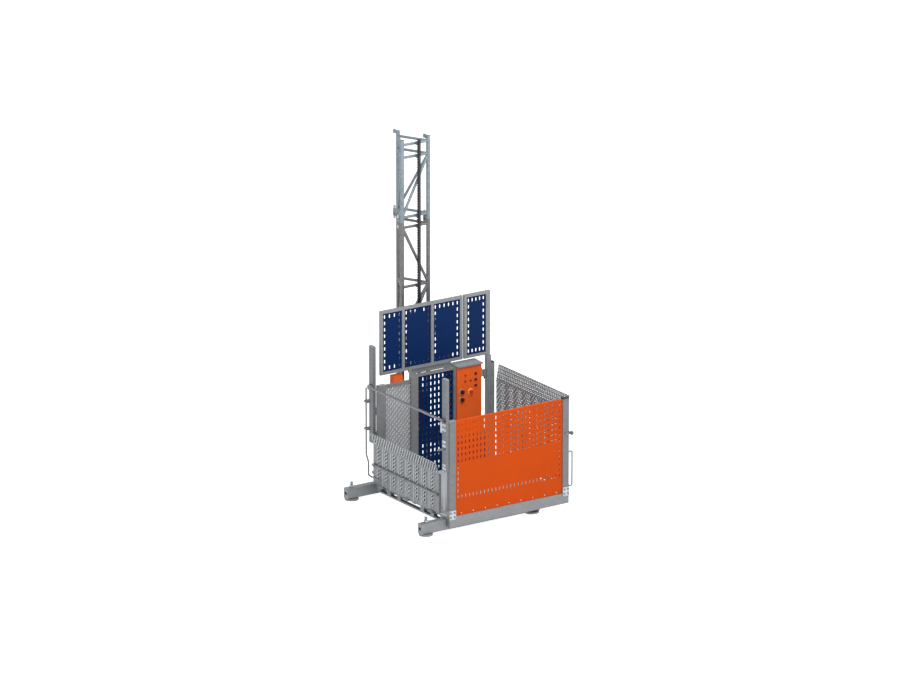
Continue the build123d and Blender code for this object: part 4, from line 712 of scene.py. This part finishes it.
@dataclass(frozen=True)
class Sheet:
    """A perforated sheet standing in space, with its slot centres about its middle, in its plane."""

    name: str
    size: tuple[float, float, float]
    middle: Vector
    turn: Matrix
    slots: Slots
    finish: Finish
    centres: list[Vector]

    def mesh(self) -> Mesh:
        """Cut the slots and put the sheet in its place.

        Returns:
            The sheet's mesh.
        """
        width, height, thick = self.size
        values = {"Width": width, "Height": height, "Thickness": thick, "Slot Width": self.slots.width,
                  "Slot Height": self.slots.height, "Corner Points": self.slots.corner_points}
        return self._stood(self.name, sheet_tree(), values, -thick / 2, self.finish)

    def lips(self, face: int, lip: Lip, finish: Finish) -> Mesh:
        """Raised lips beside the slots, on one face of the sheet.

        Args:
            face: 1 for the face that the sheet's normal leaves, -1 for the other.
            lip: size of the lips.
            finish: finish of the lips.

        Returns:
            The mesh of all lips.
        """
        values = {"Lip Width": lip.width, "Lip Height": self.slots.height, "Rise": lip.rise,
                  "Aside": (self.slots.width + lip.width) / 2}
        off = face * (self.size[2] + lip.rise) / 2
        return self._stood(f"{self.name}_lips", lip_tree(), values, off, finish)

    def _stood(self, name: str, tree: NodeTree, values: dict[str, object], off: float,
               finish: Finish) -> Mesh:
        """Grow a tree on the slot centres, a distance off the sheet's middle.

        Args:
            name: name of the mesh.
            tree: the node group.
            values: its own values.
            off: distance along the sheet's normal.
            finish: finish of the mesh.

        Returns:
            The mesh in its place.
        """
        origin = self.middle + self.turn @ Vector((0, 0, off))
        shared = {"Tilt": self.slots.tilt, "Place": tuple(origin), "Turn": tuple(self.turn.to_euler()),
                  "Finish": finish.material()}
        return grown(name, tree, values | shared, self.centres)


def fit_grips(sheets: list[Sheet], names: tuple[str, str, str], body: str, face: int, back: Finish,
              node: str) -> None:
    """Slotted sheets with a bright lip beside each slot and another lip behind it, as three pieces.

    Args:
        sheets: the sheets, all in one finish.
        names: names of the sheets, of the bright lips and of the lips behind.
        body: body that carries them.
        face: 1 for the lips in painted highlight on the face that the sheets' normals leave, -1 for the
            other.
        back: finish of the lips behind; where it is dark it paints shade into the slots.
        node: solid that the sheets replace.
    """
    Shape(*(sheet.mesh() for sheet in sheets)).fit(names[0], body, sheets[0].finish, node)
    Shape(*(sheet.lips(face, GRIP_LIP, ZINC_PAINTED_LIGHT) for sheet in sheets)).fit(names[1], body, ZINC_PAINTED_LIGHT)
    Shape(*(sheet.lips(-face, BACK_LIP, back) for sheet in sheets)).fit(names[2], body, back)


@dataclass(frozen=True)
class BoltSize:
    """Sizes of a bolt head and its washer, in metres."""

    head: float
    height: float
    washer: float
    washer_height: float


M10 = BoltSize(0.0095, 0.0065, 0.0115, 0.002)
M6 = BoltSize(0.0055, 0.004, 0.007, 0.0015)


class Facing(Enum):
    """Turns that point a bolt's head away from a face."""

    LEFT = (0.0, -QUARTER, 0.0)
    FRONT = (QUARTER, 0.0, 0.0)


def fit_bolts(name: str, spots: list[Vector], towards: Facing, size: BoltSize, finish: Finish) -> None:
    """Bolt heads on a flat face of the platform.

    Args:
        name: name of the piece.
        spots: points on the face.
        towards: where the heads point.
        size: bolt size.
        finish: finish of the bolts.
    """
    values = {"Head Radius": size.head, "Head Height": size.height, "Washer Radius": size.washer,
              "Washer Height": size.washer_height, "Turn": towards.value, "Finish": finish.material()}
    Shape(grown(name, bolt_tree(), values, spots)).fit(name, "car", finish)


def fit_plates(name: str, boxes: list[Box], spots: list[Vector], towards: Facing) -> None:
    """Bright plates on the platform, with dark bolts on them.

    Args:
        name: what the plates are on.
        boxes: box of each plate.
        spots: points of the bolts.
        towards: where the bolts' heads point.
    """
    plates = Shape()
    for box in boxes:
        plates.box(*box)
    plates.fit(f"{name}_plates", "car", ZINC_BRIGHT, bevel=SOFT_EDGE)
    fit_bolts(f"{name}_bolts", spots, towards, M10, DARK_STEEL)


@dataclass
class FrontWall:
    """Orange front wall: folded perforated sheet between grey posts."""

    slots: Slots = Slots(0.013, 0.040, 0.050, 0.0694, margin=0.032)
    sheet: float = 0.003
    plain_top: float = 0.785
    border_row: float = 0.400
    foot_bolts: int = 9
    foot_bolt_height: float = 0.026

    def build(self) -> None:
        """Make the wall's sheet with its folds, and the row of foot bolts."""
        x, y, z = spans("front_panel")
        front, folds = (y[0], y[0] + self.sheet), (y[0] + self.sheet, y[1])
        size = (x[1] - x[0], z[1] - z[0], self.sheet)
        middle = middle_of((x, front, z))
        # The wall's sheet is in the darker copy of the orange paint: painted shade.
        sheet = Sheet("front_wall_sheet", size, middle, FACING_FRONT, self.slots, ORANGE_WALL_PAINTED_SHADE,
                      self._centres(size, middle.z))
        wall = Shape(sheet.mesh())
        for edge in ((x[0], x[0] + self.sheet), (x[1] - self.sheet, x[1])):
            wall.box(edge, folds, z)
        for edge in ((z[0], z[0] + self.sheet), (z[1] - self.sheet, z[1])):
            wall.box(x, folds, edge)
        wall.fit("front_wall_sheet", "car", ORANGE_WALL_PAINTED_SHADE, "front_panel")
        step = size[0] / self.foot_bolts
        spots = [Vector((x[0] + step * (number + 0.5), y[0], z[0] + self.foot_bolt_height))
                 for number in range(self.foot_bolts)]
        fit_bolts("front_wall_bolts", spots, Facing.FRONT, M6, ZINC_BRIGHT)

    def _centres(self, size: tuple[float, float, float], middle_z: float) -> list[Vector]:
        """Slot centres: rows above, a column at each end and a row near the floor.

        Args:
            size: width, height and thickness of the sheet.
            middle_z: height of the sheet's middle.

        Returns:
            Centres about the sheet's middle.
        """
        half = size[0] / 2 - self.slots.margin
        up = (self.border_row - self.slots.height / 2 - middle_z, size[1] / 2 - self.slots.margin)
        every = self.slots.grid((-half, half), up)
        low_row = min(centre.y for centre in every) + self.slots.height / 2
        end = max(centre.x for centre in every) - self.slots.width / 2
        plain_top = self.plain_top - middle_z
        return [spot for spot in every if spot.y > plain_top or spot.y < low_row or abs(spot.x) > end]


@dataclass
class RearWall:
    """Rear wall sheets: the grey slotted panel, and the blue lower, guard and gate sheets."""

    lower_slots: Slots = Slots(0.013, 0.040, 0.050, 0.0694, margin=0.022)
    guard_slots: Slots = Slots(0.014, 0.040, 0.050, 0.0700, margin=0.022, pattern=Pattern.BORDER)
    mesh_slots: Slots = Slots(0.009, 0.030, 0.024, 0.058, -0.6, 0.5, 1, margin=0.012)
    guard_foot: float = 1.4

    def build(self) -> None:
        """Make every sheet of the rear wall."""
        boxes = islands("blue_sheets")
        lower, *guards = sorted(boxes, key=lambda box: (box[2][0] > self.guard_foot, box[0][0]))
        self._blue("blue_lower_sheet", lower, self.lower_slots, "blue_sheets")
        for number, guard in enumerate(guards, start=1):
            self._blue(f"guard_sheet_{number}", guard, self.guard_slots, "blue_sheets")
        grey, below_cabinet = islands("grey_mesh_panels")
        self._blue("sheet_below_cabinet", below_cabinet, self.lower_slots, "grey_mesh_panels")
        self._grey(grey)
        gate = spans("mast_gate_sheet")
        self._blue("gate_sheet", gate, self.guard_slots, "mast_gate_sheet", "mast_gate")

    def _sheet(self, name: str, box: Box, slots: Slots, finish: Finish) -> Sheet:
        """One slotted sheet that faces the front.

        Args:
            name: name of the mesh.
            box: its spans on X, Y and Z.
            slots: its slots.
            finish: its finish.

        Returns:
            The sheet.
        """
        width, thick, height = (side[1] - side[0] for side in box)
        size, centres = (width, height, thick), slots.fill(width, height)
        return Sheet(name, size, middle_of(box), FACING_FRONT, slots, finish, centres)

    def _blue(self, name: str, box: Box, slots: Slots, node: str, body: str = "car") -> None:
        """One blue sheet, for a solid of a node, on a body."""
        Shape(self._sheet(name, box, slots, BLUE).mesh()).fit(name, body, BLUE, node)

    def _grey(self, box: Box) -> None:
        """Grey slanted-slot panel with a plain band down its middle.

        Args:
            box: its spans on X, Y and Z.
        """
        x, y, z = box
        middle = sum(x) / 2
        sheets = [self._sheet(f"grey_panel_{side}", (part, y, z), self.mesh_slots, ZINC_PALE)
                  for side, part in enumerate(((x[0], middle), (middle, x[1])))]
        names = ("grey_slotted_panels", "grey_panel_lips", "grey_panel_back_lips")
        fit_grips(sheets, names, "car", 1, ZINC, "grey_mesh_panels")


@dataclass
class SideLeaf:
    """A folding side: slotted sheet, edges, ribs, a slotted strip that leans out, and hinge knuckles."""

    node: str
    body: str
    joint: str
    outward: int
    strip: float
    lean: float
    rib_width: float
    slots: Slots
    strip_slots: Slots
    overhang: float = 0.0
    finish: Finish = ZINC
    ribs: int = 9
    thick: float = 0.030
    sheet: float = 0.004
    edge: float = 0.030
    low: float = 0.200
    hinge_inset: float = 0.160
    hinges: int = 3
    knuckle_r: float = 0.014
    knuckle_bore: float = 0.58
    knuckle_w: float = 0.050
    link: float = 0.036
    bevel: float = 0.003

    def __post_init__(self) -> None:
        """Read the leaf's place from its solid."""
        low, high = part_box(self.node)
        self.y: Span = (low.y, high.y - self.overhang)
        self.left = high.x - self.thick if self.outward < 0 else low.x
        self.backing = self.left + self.sheet
        self.top = high.z - self.strip
        self.hinge = Vector(next(item for item in frame["joints"] if item["name"] == self.joint)["pos_m"])
        half = self.rib_width / 2
        self.rows = spread(self.y[0] + half, self.y[1] - half, self.ribs)

    def build(self) -> None:
        """Make the leaf and put it on its body."""
        leaf = Shape()
        deep = (self.backing, self.left + self.thick)
        for edge in ((self.low, self.low + self.edge), (self.top - self.edge, self.top)):
            leaf.box(deep, self.y, edge)
        for middle in self.rows:
            leaf.box(deep, around(middle, self.rib_width), (self.low + self.edge, self.top - self.edge))
        self._knuckles(leaf)
        self.extras(leaf)
        leaf.fit(f"{self.body}_ribs", self.body, self.finish, self.node, bevel=self.bevel)
        names = (f"{self.body}_sheets", f"{self.body}_grip_lips", f"{self.body}_back_lips")
        # The lips behind the slots are dark: painted shade inside the slots.
        fit_grips([self._sheet(), self._strip()], names, self.body, -1, SLOT_SHADE, self.node)

    def extras(self, leaf: Shape) -> None:
        """Pieces that only one of the leaves has."""

    def centres(self, middle: Vector, up: Span) -> list[Vector]:
        """Slot centres of the upright sheet, a field over its whole width in a window of heights."""
        half = (self.y[1] - self.y[0]) / 2 - self.slots.margin
        return self.slots.grid((-half, half), up)

    def _knuckles(self, leaf: Shape) -> None:
        """Hinge knuckles below the leaf.

        Args:
            leaf: shape to add to.
        """
        x, z = self.hinge.x, self.hinge.z
        for row in spread(self.y[0] + self.hinge_inset, self.y[1] - self.hinge_inset, self.hinges):
            y = around(row, self.knuckle_w)
            leaf.box(tuple(sorted((x, x - self.outward * self.link))), y, (z, self.low))
            leaf.ring((x, y[0], z), (x, y[1], z), self.knuckle_r, self.knuckle_r * self.knuckle_bore)

    def _sheet(self) -> Sheet:
        """Upright slotted sheet.

        Returns:
            The sheet.
        """
        middle = middle_of(((self.left, self.backing), self.y, (self.low, self.top)))
        margin = self.slots.margin
        up = (self.low + self.edge + margin - middle.z, self.top - margin - middle.z)
        size = (self.y[1] - self.y[0], self.top - self.low, self.sheet)
        return Sheet(f"{self.body}_sheet", size, middle, FACING_RIGHT, self.slots, self.finish,
                     self.centres(middle, up))

    def _strip(self) -> Sheet:
        """Slotted end strip that leans outwards from the sheet.

        Returns:
            The strip.
        """
        slope = math.hypot(self.lean, self.strip)
        along = Vector((0, 1, 0))
        rise = Vector((self.outward * self.lean, 0, self.strip)).normalized()
        turn = Matrix((along, rise, along.cross(rise))).transposed()
        foot = self.left + self.sheet / 2
        middle = Vector((foot + self.outward * self.lean / 2, sum(self.y) / 2, self.top + self.strip / 2))
        size = (self.y[1] - self.y[0], slope, self.sheet * self.strip / slope)
        return Sheet(f"{self.body}_strip", size, middle, turn, self.strip_slots, self.finish,
                     self.strip_slots.fill(size[0], size[1]))


@dataclass
class Ramp(SideLeaf):
    """Loading ramp of grip planks, with the saddles of its cross bar and the crank of its push rod."""

    saddle_w: float = 0.024
    saddle_wall: float = 0.006
    crank_r: float = 0.010
    crank_length: float = 0.150
    crank_rise: float = 0.075
    columns: float = 0.034
    seam_w: float = 0.006
    seam_rise: float = 0.0015

    def build(self) -> None:
        """Make the leaf, and the seams between its planks."""
        super().build()
        seams = Shape()
        for middle in self.rows[1:-1]:
            across = around(middle, self.seam_w)
            seams.box((self.left - self.seam_rise, self.left), across, (self.low, self.top))
        # The seams are in the brighter zinc copy: painted highlight.
        seams.fit("ramp_plank_seams", self.body, ZINC_PAINTED_LIGHT)

    def centres(self, middle: Vector, up: Span) -> list[Vector]:
        """Two staggered columns of slots in every bay between the ribs.

        Args:
            middle: middle of the sheet.
            up: window of the slots' heights about that middle.

        Returns:
            Centres in the sheet's plane.
        """
        reach = self.columns + self.slots.width
        spots = []
        for first, second in zip(self.rows, self.rows[1:]):
            spots += self.slots.grid(around((first + second) / 2 - middle.y, reach), up)
        return spots

    def extras(self, leaf: Shape) -> None:
        """Add the saddles and the crank.

        Args:
            leaf: shape to add to.
        """
        low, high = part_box("ramp_bar")
        z = (low.z - self.saddle_wall, high.z + self.saddle_wall)
        for middle in (self.rows[0], self.rows[self.ribs // 2], self.rows[-1]):
            leaf.box((low.x - self.saddle_wall, self.left), around(middle, self.saddle_w), z)
        x, z = middle_of(spans("ramp_push_rod")).x, self.hinge.z + self.crank_rise
        leaf.bar((x, self.y[1] - self.crank_length, z), (x, self.y[1] + self.overhang, z), self.crank_r)


@dataclass
class ControlCabinet:
    """Bezels, switch bases and lamps on the door of the control cabinet."""

    near: float = 0.02

    def build(self) -> None:
        """Make each bezel a piece of its own in its own finish."""
        wanted = {"emergency_stop": YELLOW, "selector_switch": PALE_PLASTIC, "main_switch": PALE_PLASTIC,
                  "button_up": BLACK, "button_down": BLACK, "button_call": BLACK}
        for number, (box, solid) in enumerate(cut_apart("control_bezels")):
            control = next((name for name in wanted if self._over(name, middle_of(box))), "")
            finish = wanted.get(control, SMOKED_LENS)
            name = f"{control}_bezel" if control else f"door_lamp_{number}"
            solid.fit(name, "cabinet_door", finish, "control_bezels")

    def _over(self, node: str, middle: Vector) -> bool:
        """Whether a control sits over a bezel's middle."""
        spot = middle_of(spans(node))
        return math.hypot(spot.x - middle.x, spot.z - middle.z) < self.near


@dataclass
class GatePosts:
    """Chain, bracket plates and their bolts on the gate posts, and the caps of all posts."""

    link_length: float = 0.036
    link_width: float = 0.017
    wire: float = 0.0032
    post: float = 0.080
    proud: float = 0.001
    plate: float = 0.003
    plate_inset: float = 0.004
    plates: tuple[Span, ...] = ((1.180, 1.270), (0.995, 1.070), (0.735, 0.800))
    bolt_inset: float = 0.018

    def build(self) -> None:
        """Hang the chain, close the posts and screw the plates to the near gate post."""
        self._chain()
        self._caps()
        near = spans("gate_posts")[1][0]
        face = spans("post_caps")[0][0] - self.proud
        x = (face - self.plate, face)
        y = (near + self.plate_inset, near + self.post - self.plate_inset)
        spots = [Vector((x[0], across, sum(z) / 2)) for z in self.plates
                 for across in (near + self.bolt_inset, near + self.post - self.bolt_inset)]
        fit_plates("gate_post", [(x, y, z) for z in self.plates], spots, Facing.LEFT)

    def _caps(self) -> None:
        """Grey caps on the posts left of the mast axis, black ones on the others."""
        for number, (box, cap) in enumerate(cut_apart("post_caps"), start=1):
            finish = ZINC if middle_of(box).x < 0 else BLACK
            cap.fit(f"post_cap_{number}", "car", finish, "post_caps")

    def _chain(self) -> None:
        """Chain of round-wire links in place of the plain stay."""
        x, y, z = spans("stay_chain")
        pitch = self.link_length - 2 * self.wire
        start = (sum(x) / 2, sum(y) / 2, z[1] - self.link_length / 2)
        count = int((z[1] - z[0] - self.link_length) / pitch) + 1
        values = {"Count": count, "Pitch": pitch, "Link Length": pitch, "Wire Radius": self.wire,
                  "Link Width": self.link_width - 2 * self.wire, "Start": start,
                  "Finish": ZINC_BRIGHT.material()}
        chain = Shape(grown("stay_chain_links", chain_tree(), values))
        chain.fit("stay_chain_links", "car", ZINC_BRIGHT, "stay_chain", smooth=ROUND)


@dataclass
class Platform:
    """Tread of the floor, and the plates and bolts at the feet of the front posts."""

    pitch: float = 0.042
    bump_length: float = 0.015
    bump_width: float = 0.0045
    bump_rise: float = 0.0016
    margin: float = 0.060
    plate: float = 0.002
    plate_height: float = 0.105
    bolt_inset: float = 0.018
    bolt_rows: tuple[float, float] = (0.178, 0.228)

    def build(self) -> None:
        """Press the tread and fit the foot plates."""
        x, y, z = spans("floor_plate")
        columns = int((x[1] - x[0] - 2 * self.margin) / self.pitch)
        rows = int((y[1] - y[0] - 2 * self.margin) / self.pitch)
        spots = [Vector((sum(x) / 2 + (column - columns / 2) * self.pitch,
                         sum(y) / 2 + (row - rows / 2) * self.pitch, z[1]))
                 for column in range(columns + 1) for row in range(rows + 1)]
        # The tread is in the brighter zinc copy: painted light on the shaded floor.
        values = {"Length": self.bump_length, "Width": self.bump_width, "Rise": self.bump_rise,
                  "Finish": ZINC_PAINTED_LIGHT.material()}
        tread = Shape(grown("floor_tread", tread_tree(), values, spots))
        tread.fit("floor_tread", "car", ZINC_PAINTED_LIGHT, smooth=ROUND)
        self._feet()

    def _feet(self) -> None:
        """Bright plates with bolts on the post sockets."""
        low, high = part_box("front_apron")
        panel = spans("front_panel")[0]
        y, z = (low.y - self.plate, low.y), (high.z - self.plate_height, high.z)
        sockets = ((low.x, panel[0]), (panel[1], high.x))
        spots = [Vector((across, y[0], row)) for x in sockets for row in self.bolt_rows
                 for across in (x[0] + self.bolt_inset, x[1] - self.bolt_inset)]
        fit_plates("post_foot", [(x, y, z) for x in sockets], spots, Facing.FRONT)


@dataclass
class Fittings:
    """Small fittings: nuts of the feet, the ring of the latch's knob and the limit switch's roller."""

    nut: tuple[float, float, float] = (0.027, 0.0158, 0.014)
    sleeve_top: float = 0.157
    knob: tuple[float, float, float] = (0.022, 0.012, 0.003)
    roller: tuple[float, float] = (0.011, 0.010)
    roller_x: float = 0.694
    roller_z: float = 1.176

    def build(self) -> None:
        """Make every fitting."""
        self._nuts()
        self._knob()
        self._roller()

    def _nuts(self) -> None:
        """Hexagon nuts on the jack sleeves."""
        radius, hole, height = self.nut
        nuts = Shape()
        for end in ("front", "rear"):
            x, y, _ = middle_of(spans(f"foot_{end}_left"))
            top = self.sleeve_top
            nuts.ring((x, y, top), (x, y, top + height), radius, hole, HEXAGON)
        nuts.fit("jack_nuts", "base", ZINC_BRIGHT, bevel=SOFT_EDGE, smooth=FACETED)

    def _knob(self) -> None:
        """Dark ring on the front of the flap latch's knob."""
        radius, hole, height = self.knob
        low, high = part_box("flap_latch")
        x, z = high.x - radius, (low.z + high.z) / 2
        ring = Shape()
        ring.ring((x, low.y, z), (x, low.y - height, z), radius, hole)
        ring.fit("flap_latch_ring", "flap_latch", BLACK, bevel=SOFT_EDGE)

    def _roller(self) -> None:
        """Roller of the limit switch on the right post."""
        radius, width = self.roller
        spot = Vector((self.roller_x, spans("mast_gate_frame")[1][0], self.roller_z))
        wheel = Shape()
        wheel.bar(spot, spot + Vector((0, -width, 0)), radius)
        wheel.fit("limit_switch_roller", "car", BLACK, bevel=SOFT_EDGE)


RAMP_SLOTS = Slots(0.018, 0.030, 0.034, 0.040, 0.55, 0.5, 2)
STRIP_SLOTS = Slots(0.018, 0.030, 0.023, 0.060, 0.6, 0.5, 2)
FLAP_SLOTS = Slots(0.015, 0.031, 0.023, 0.060, 0.6, 0.5, 2)
ASSEMBLIES = (
    FrontWall(),
    RearWall(),
    Ramp("ramp_panel", "ramp", "ramp_hinge", outward=-1, strip=0.140, lean=0.040, rib_width=0.076,
         slots=RAMP_SLOTS, strip_slots=STRIP_SLOTS, overhang=0.015),
    SideLeaf("flap_panel", "flap", "flap_hinge", outward=1, strip=0.165, lean=0.034, rib_width=0.056,
             slots=FLAP_SLOTS, strip_slots=FLAP_SLOTS),
    ControlCabinet(),
    GatePosts(),
    Platform(),
    Fittings(),
)


DRESS: dict[Finish, tuple[str, ...]] = {
    ZINC: ("floor_frame", "rear_frame", "upper_guard_frame", "mast_gate_frame", "carriage_frame",
           "base_front_beam", "base_rear_beam", "flap_handle", "ramp_push_rod", "front_apron", "flap_latch",
           "foot_front_left", "foot_front_right", "foot_rear_left", "foot_rear_right", "cabinet_hood"),
    ZINC_DARK: ("base_side_rails", "mast_base", "front_posts", "gate_posts"),
    # The floor plate is in the brighter zinc copy: painted light on the shaded floor.
    ZINC_PAINTED_LIGHT: ("floor_plate",),
    ZINC_BRIGHT: ("mast_joint_bolts", "barrier_latch", "hinge_pins"),
    MAST_GREY: ("mast_section_lower", "mast_section_middle"),
    MAST_PALE: ("mast_section_top",),
    RACK: ("mast_rack", "drive_pinion", "governor_pinion"),
    # Door and box in the lighter copy of the orange paint: painted light.
    ORANGE: ("cabinet_door", "junction_box"),
    MOTOR_RED: ("drive_gearbox", "drive_motor"),
    MACHINE_GREY: ("cabinet_housing", "governor_housing"),
    DARK_STEEL: ("roller_axles", "roller_lower_left", "roller_lower_right", "roller_upper_left",
                 "roller_upper_right", "ramp_bar", "barrier_bar"),
    BLACK: ("cabinet_switchgear", "button_up", "button_down", "button_call"),
    MAROON: ("selector_switch", "main_switch"),
    RED: ("emergency_stop",),
    RUBBER: ("landing_buffers",),
}


def dress_solids() -> None:
    """Give every solid that is shown its finish."""
    for finish, nodes in DRESS.items():
        for node in nodes:
            mesh = frame["nodes"][node].data
            mesh.materials.clear()
            mesh.materials.append(finish.material())
            log.info("%s dressed in %s", node, finish.name)

def aimed(name: str, data: bpy.types.ID, spot: Vector, target: Vector) -> Object:
    """Put a camera or lamp at a spot so that it faces a point.

    Args:
        name: name of the object.
        data: the camera or lamp.
        spot: where it is.
        target: the point.

    Returns:
        The object.
    """
    made = bpy.data.objects.new(name, data)
    made.location = spot
    made.rotation_euler = (target - spot).to_track_quat("-Z", "Y").to_euler()
    bpy.context.scene.collection.objects.link(made)
    return made


@dataclass(frozen=True)
class Lamp:
    """A square lamp: where it hangs, the side of the square and its power in watts."""

    name: str
    spot: tuple[float, float, float]
    size: float
    power: float

    def hang(self, target: Vector) -> None:
        """Hang the lamp so that it faces the lift.

        Args:
            target: point that it faces.
        """
        data = bpy.data.lights.new(self.name, "AREA")
        data.size = self.size
        data.energy = self.power
        aimed(self.name, data, Vector(self.spot), target)


@dataclass(frozen=True)
class Studio:
    """Camera, floor and soft light."""

    azimuth: float = math.radians(-33.8)
    elevation: float = math.radians(17.4)
    distance: float = 100.0
    lens: float = 360.0
    sensor: float = 36.0
    clip: Span = (1.0, 400.0)
    target: tuple[float, float, float] = (-0.20, -1.10, 1.97)
    floor_reach: float = 90.0
    floor_grey: float = 0.8
    floor_lift: float = 0.9
    sky: float = 0.78
    lamps: tuple[Lamp, ...] = (Lamp("key", (-4.0, -8.5, 7.5), 6.0, 110.0),
                               Lamp("fill", (7.5, -5.0, 5.0), 5.0, 70.0),
                               Lamp("top", (-0.8, -3.6, 6.0), 3.5, 230.0))

    def camera(self) -> None:
        """Put the camera at the photograph's angle."""
        back = Vector((math.sin(self.azimuth) * math.cos(self.elevation),
                       -math.cos(self.azimuth) * math.cos(self.elevation), math.sin(self.elevation)))
        data = bpy.data.cameras.new("camera")
        data.lens = self.lens
        data.sensor_width = self.sensor
        data.clip_start, data.clip_end = self.clip
        target = Vector(self.target)
        bpy.context.scene.camera = aimed("camera", data, target + back * self.distance, target)

    def floor(self) -> None:
        """Pale matt floor that shows nearly white, with a faint shadow."""
        low, high = -self.floor_reach, self.floor_reach
        mesh = bpy.data.meshes.new("studio_floor")
        mesh.from_pydata([(low, low, 0), (high, low, 0), (high, high, 0), (low, high, 0)], [], [(0, 1, 2, 3)])
        mesh.materials.append(self._floor_finish())
        made = bpy.data.objects.new("studio_floor", mesh)
        bpy.context.scene.collection.objects.link(made)

    def _seen(self, nodes: Nodes) -> NodeSocket:
        """Share of rays that show the background: from the camera, a reflection or glass.

        Args:
            nodes: nodes to add to.

        Returns:
            The share's socket.
        """
        path = nodes.add("ShaderNodeLightPath").outputs
        mirrored = nodes.math("MAXIMUM", path["Is Camera Ray"], path["Is Glossy Ray"])
        return nodes.math("MAXIMUM", mirrored, path["Is Transmission Ray"])

    def _floor_finish(self) -> Material:
        """Matt floor with a lift for the rays that show it.

        Returns:
            The floor's material.
        """
        made = bpy.data.materials.new("studio_floor")
        made.use_nodes = True
        nodes = Nodes(made.node_tree)
        grey = (self.floor_grey, self.floor_grey, self.floor_grey, 1.0)
        lift = nodes.math("MULTIPLY", self._seen(nodes), self.floor_lift)
        nodes.feed(nodes.group.nodes["Principled BSDF"], Base_Color=grey, Roughness=1.0,
                   Specular_IOR_Level=0.0, Emission_Color=WHITE, Emission_Strength=lift)
        return made

    def light(self) -> None:
        """White sky and soft lamps."""
        scene = bpy.context.scene
        scene.world = bpy.data.worlds.new("studio")
        scene.world.use_nodes = True
        nodes = Nodes(scene.world.node_tree)
        strength = nodes.add("ShaderNodeMapRange", Value=self._seen(nodes), To_Min=self.sky, To_Max=1.0)
        nodes.feed(nodes.group.nodes["Background"], Color=WHITE, Strength=strength)
        for lamp in self.lamps:
            lamp.hang(Vector(self.target))
        scene.view_settings.view_transform = "Standard"


def main() -> None:
    """Build the studio, dress the solids and add every piece."""
    logging.basicConfig(level=logging.INFO, format="%(name)s: %(message)s")
    studio = Studio()
    studio.camera()
    studio.floor()
    studio.light()
    dress_solids()
    for assembly in ASSEMBLIES:
        assembly.build()


if __name__ == "__main__":
    main()
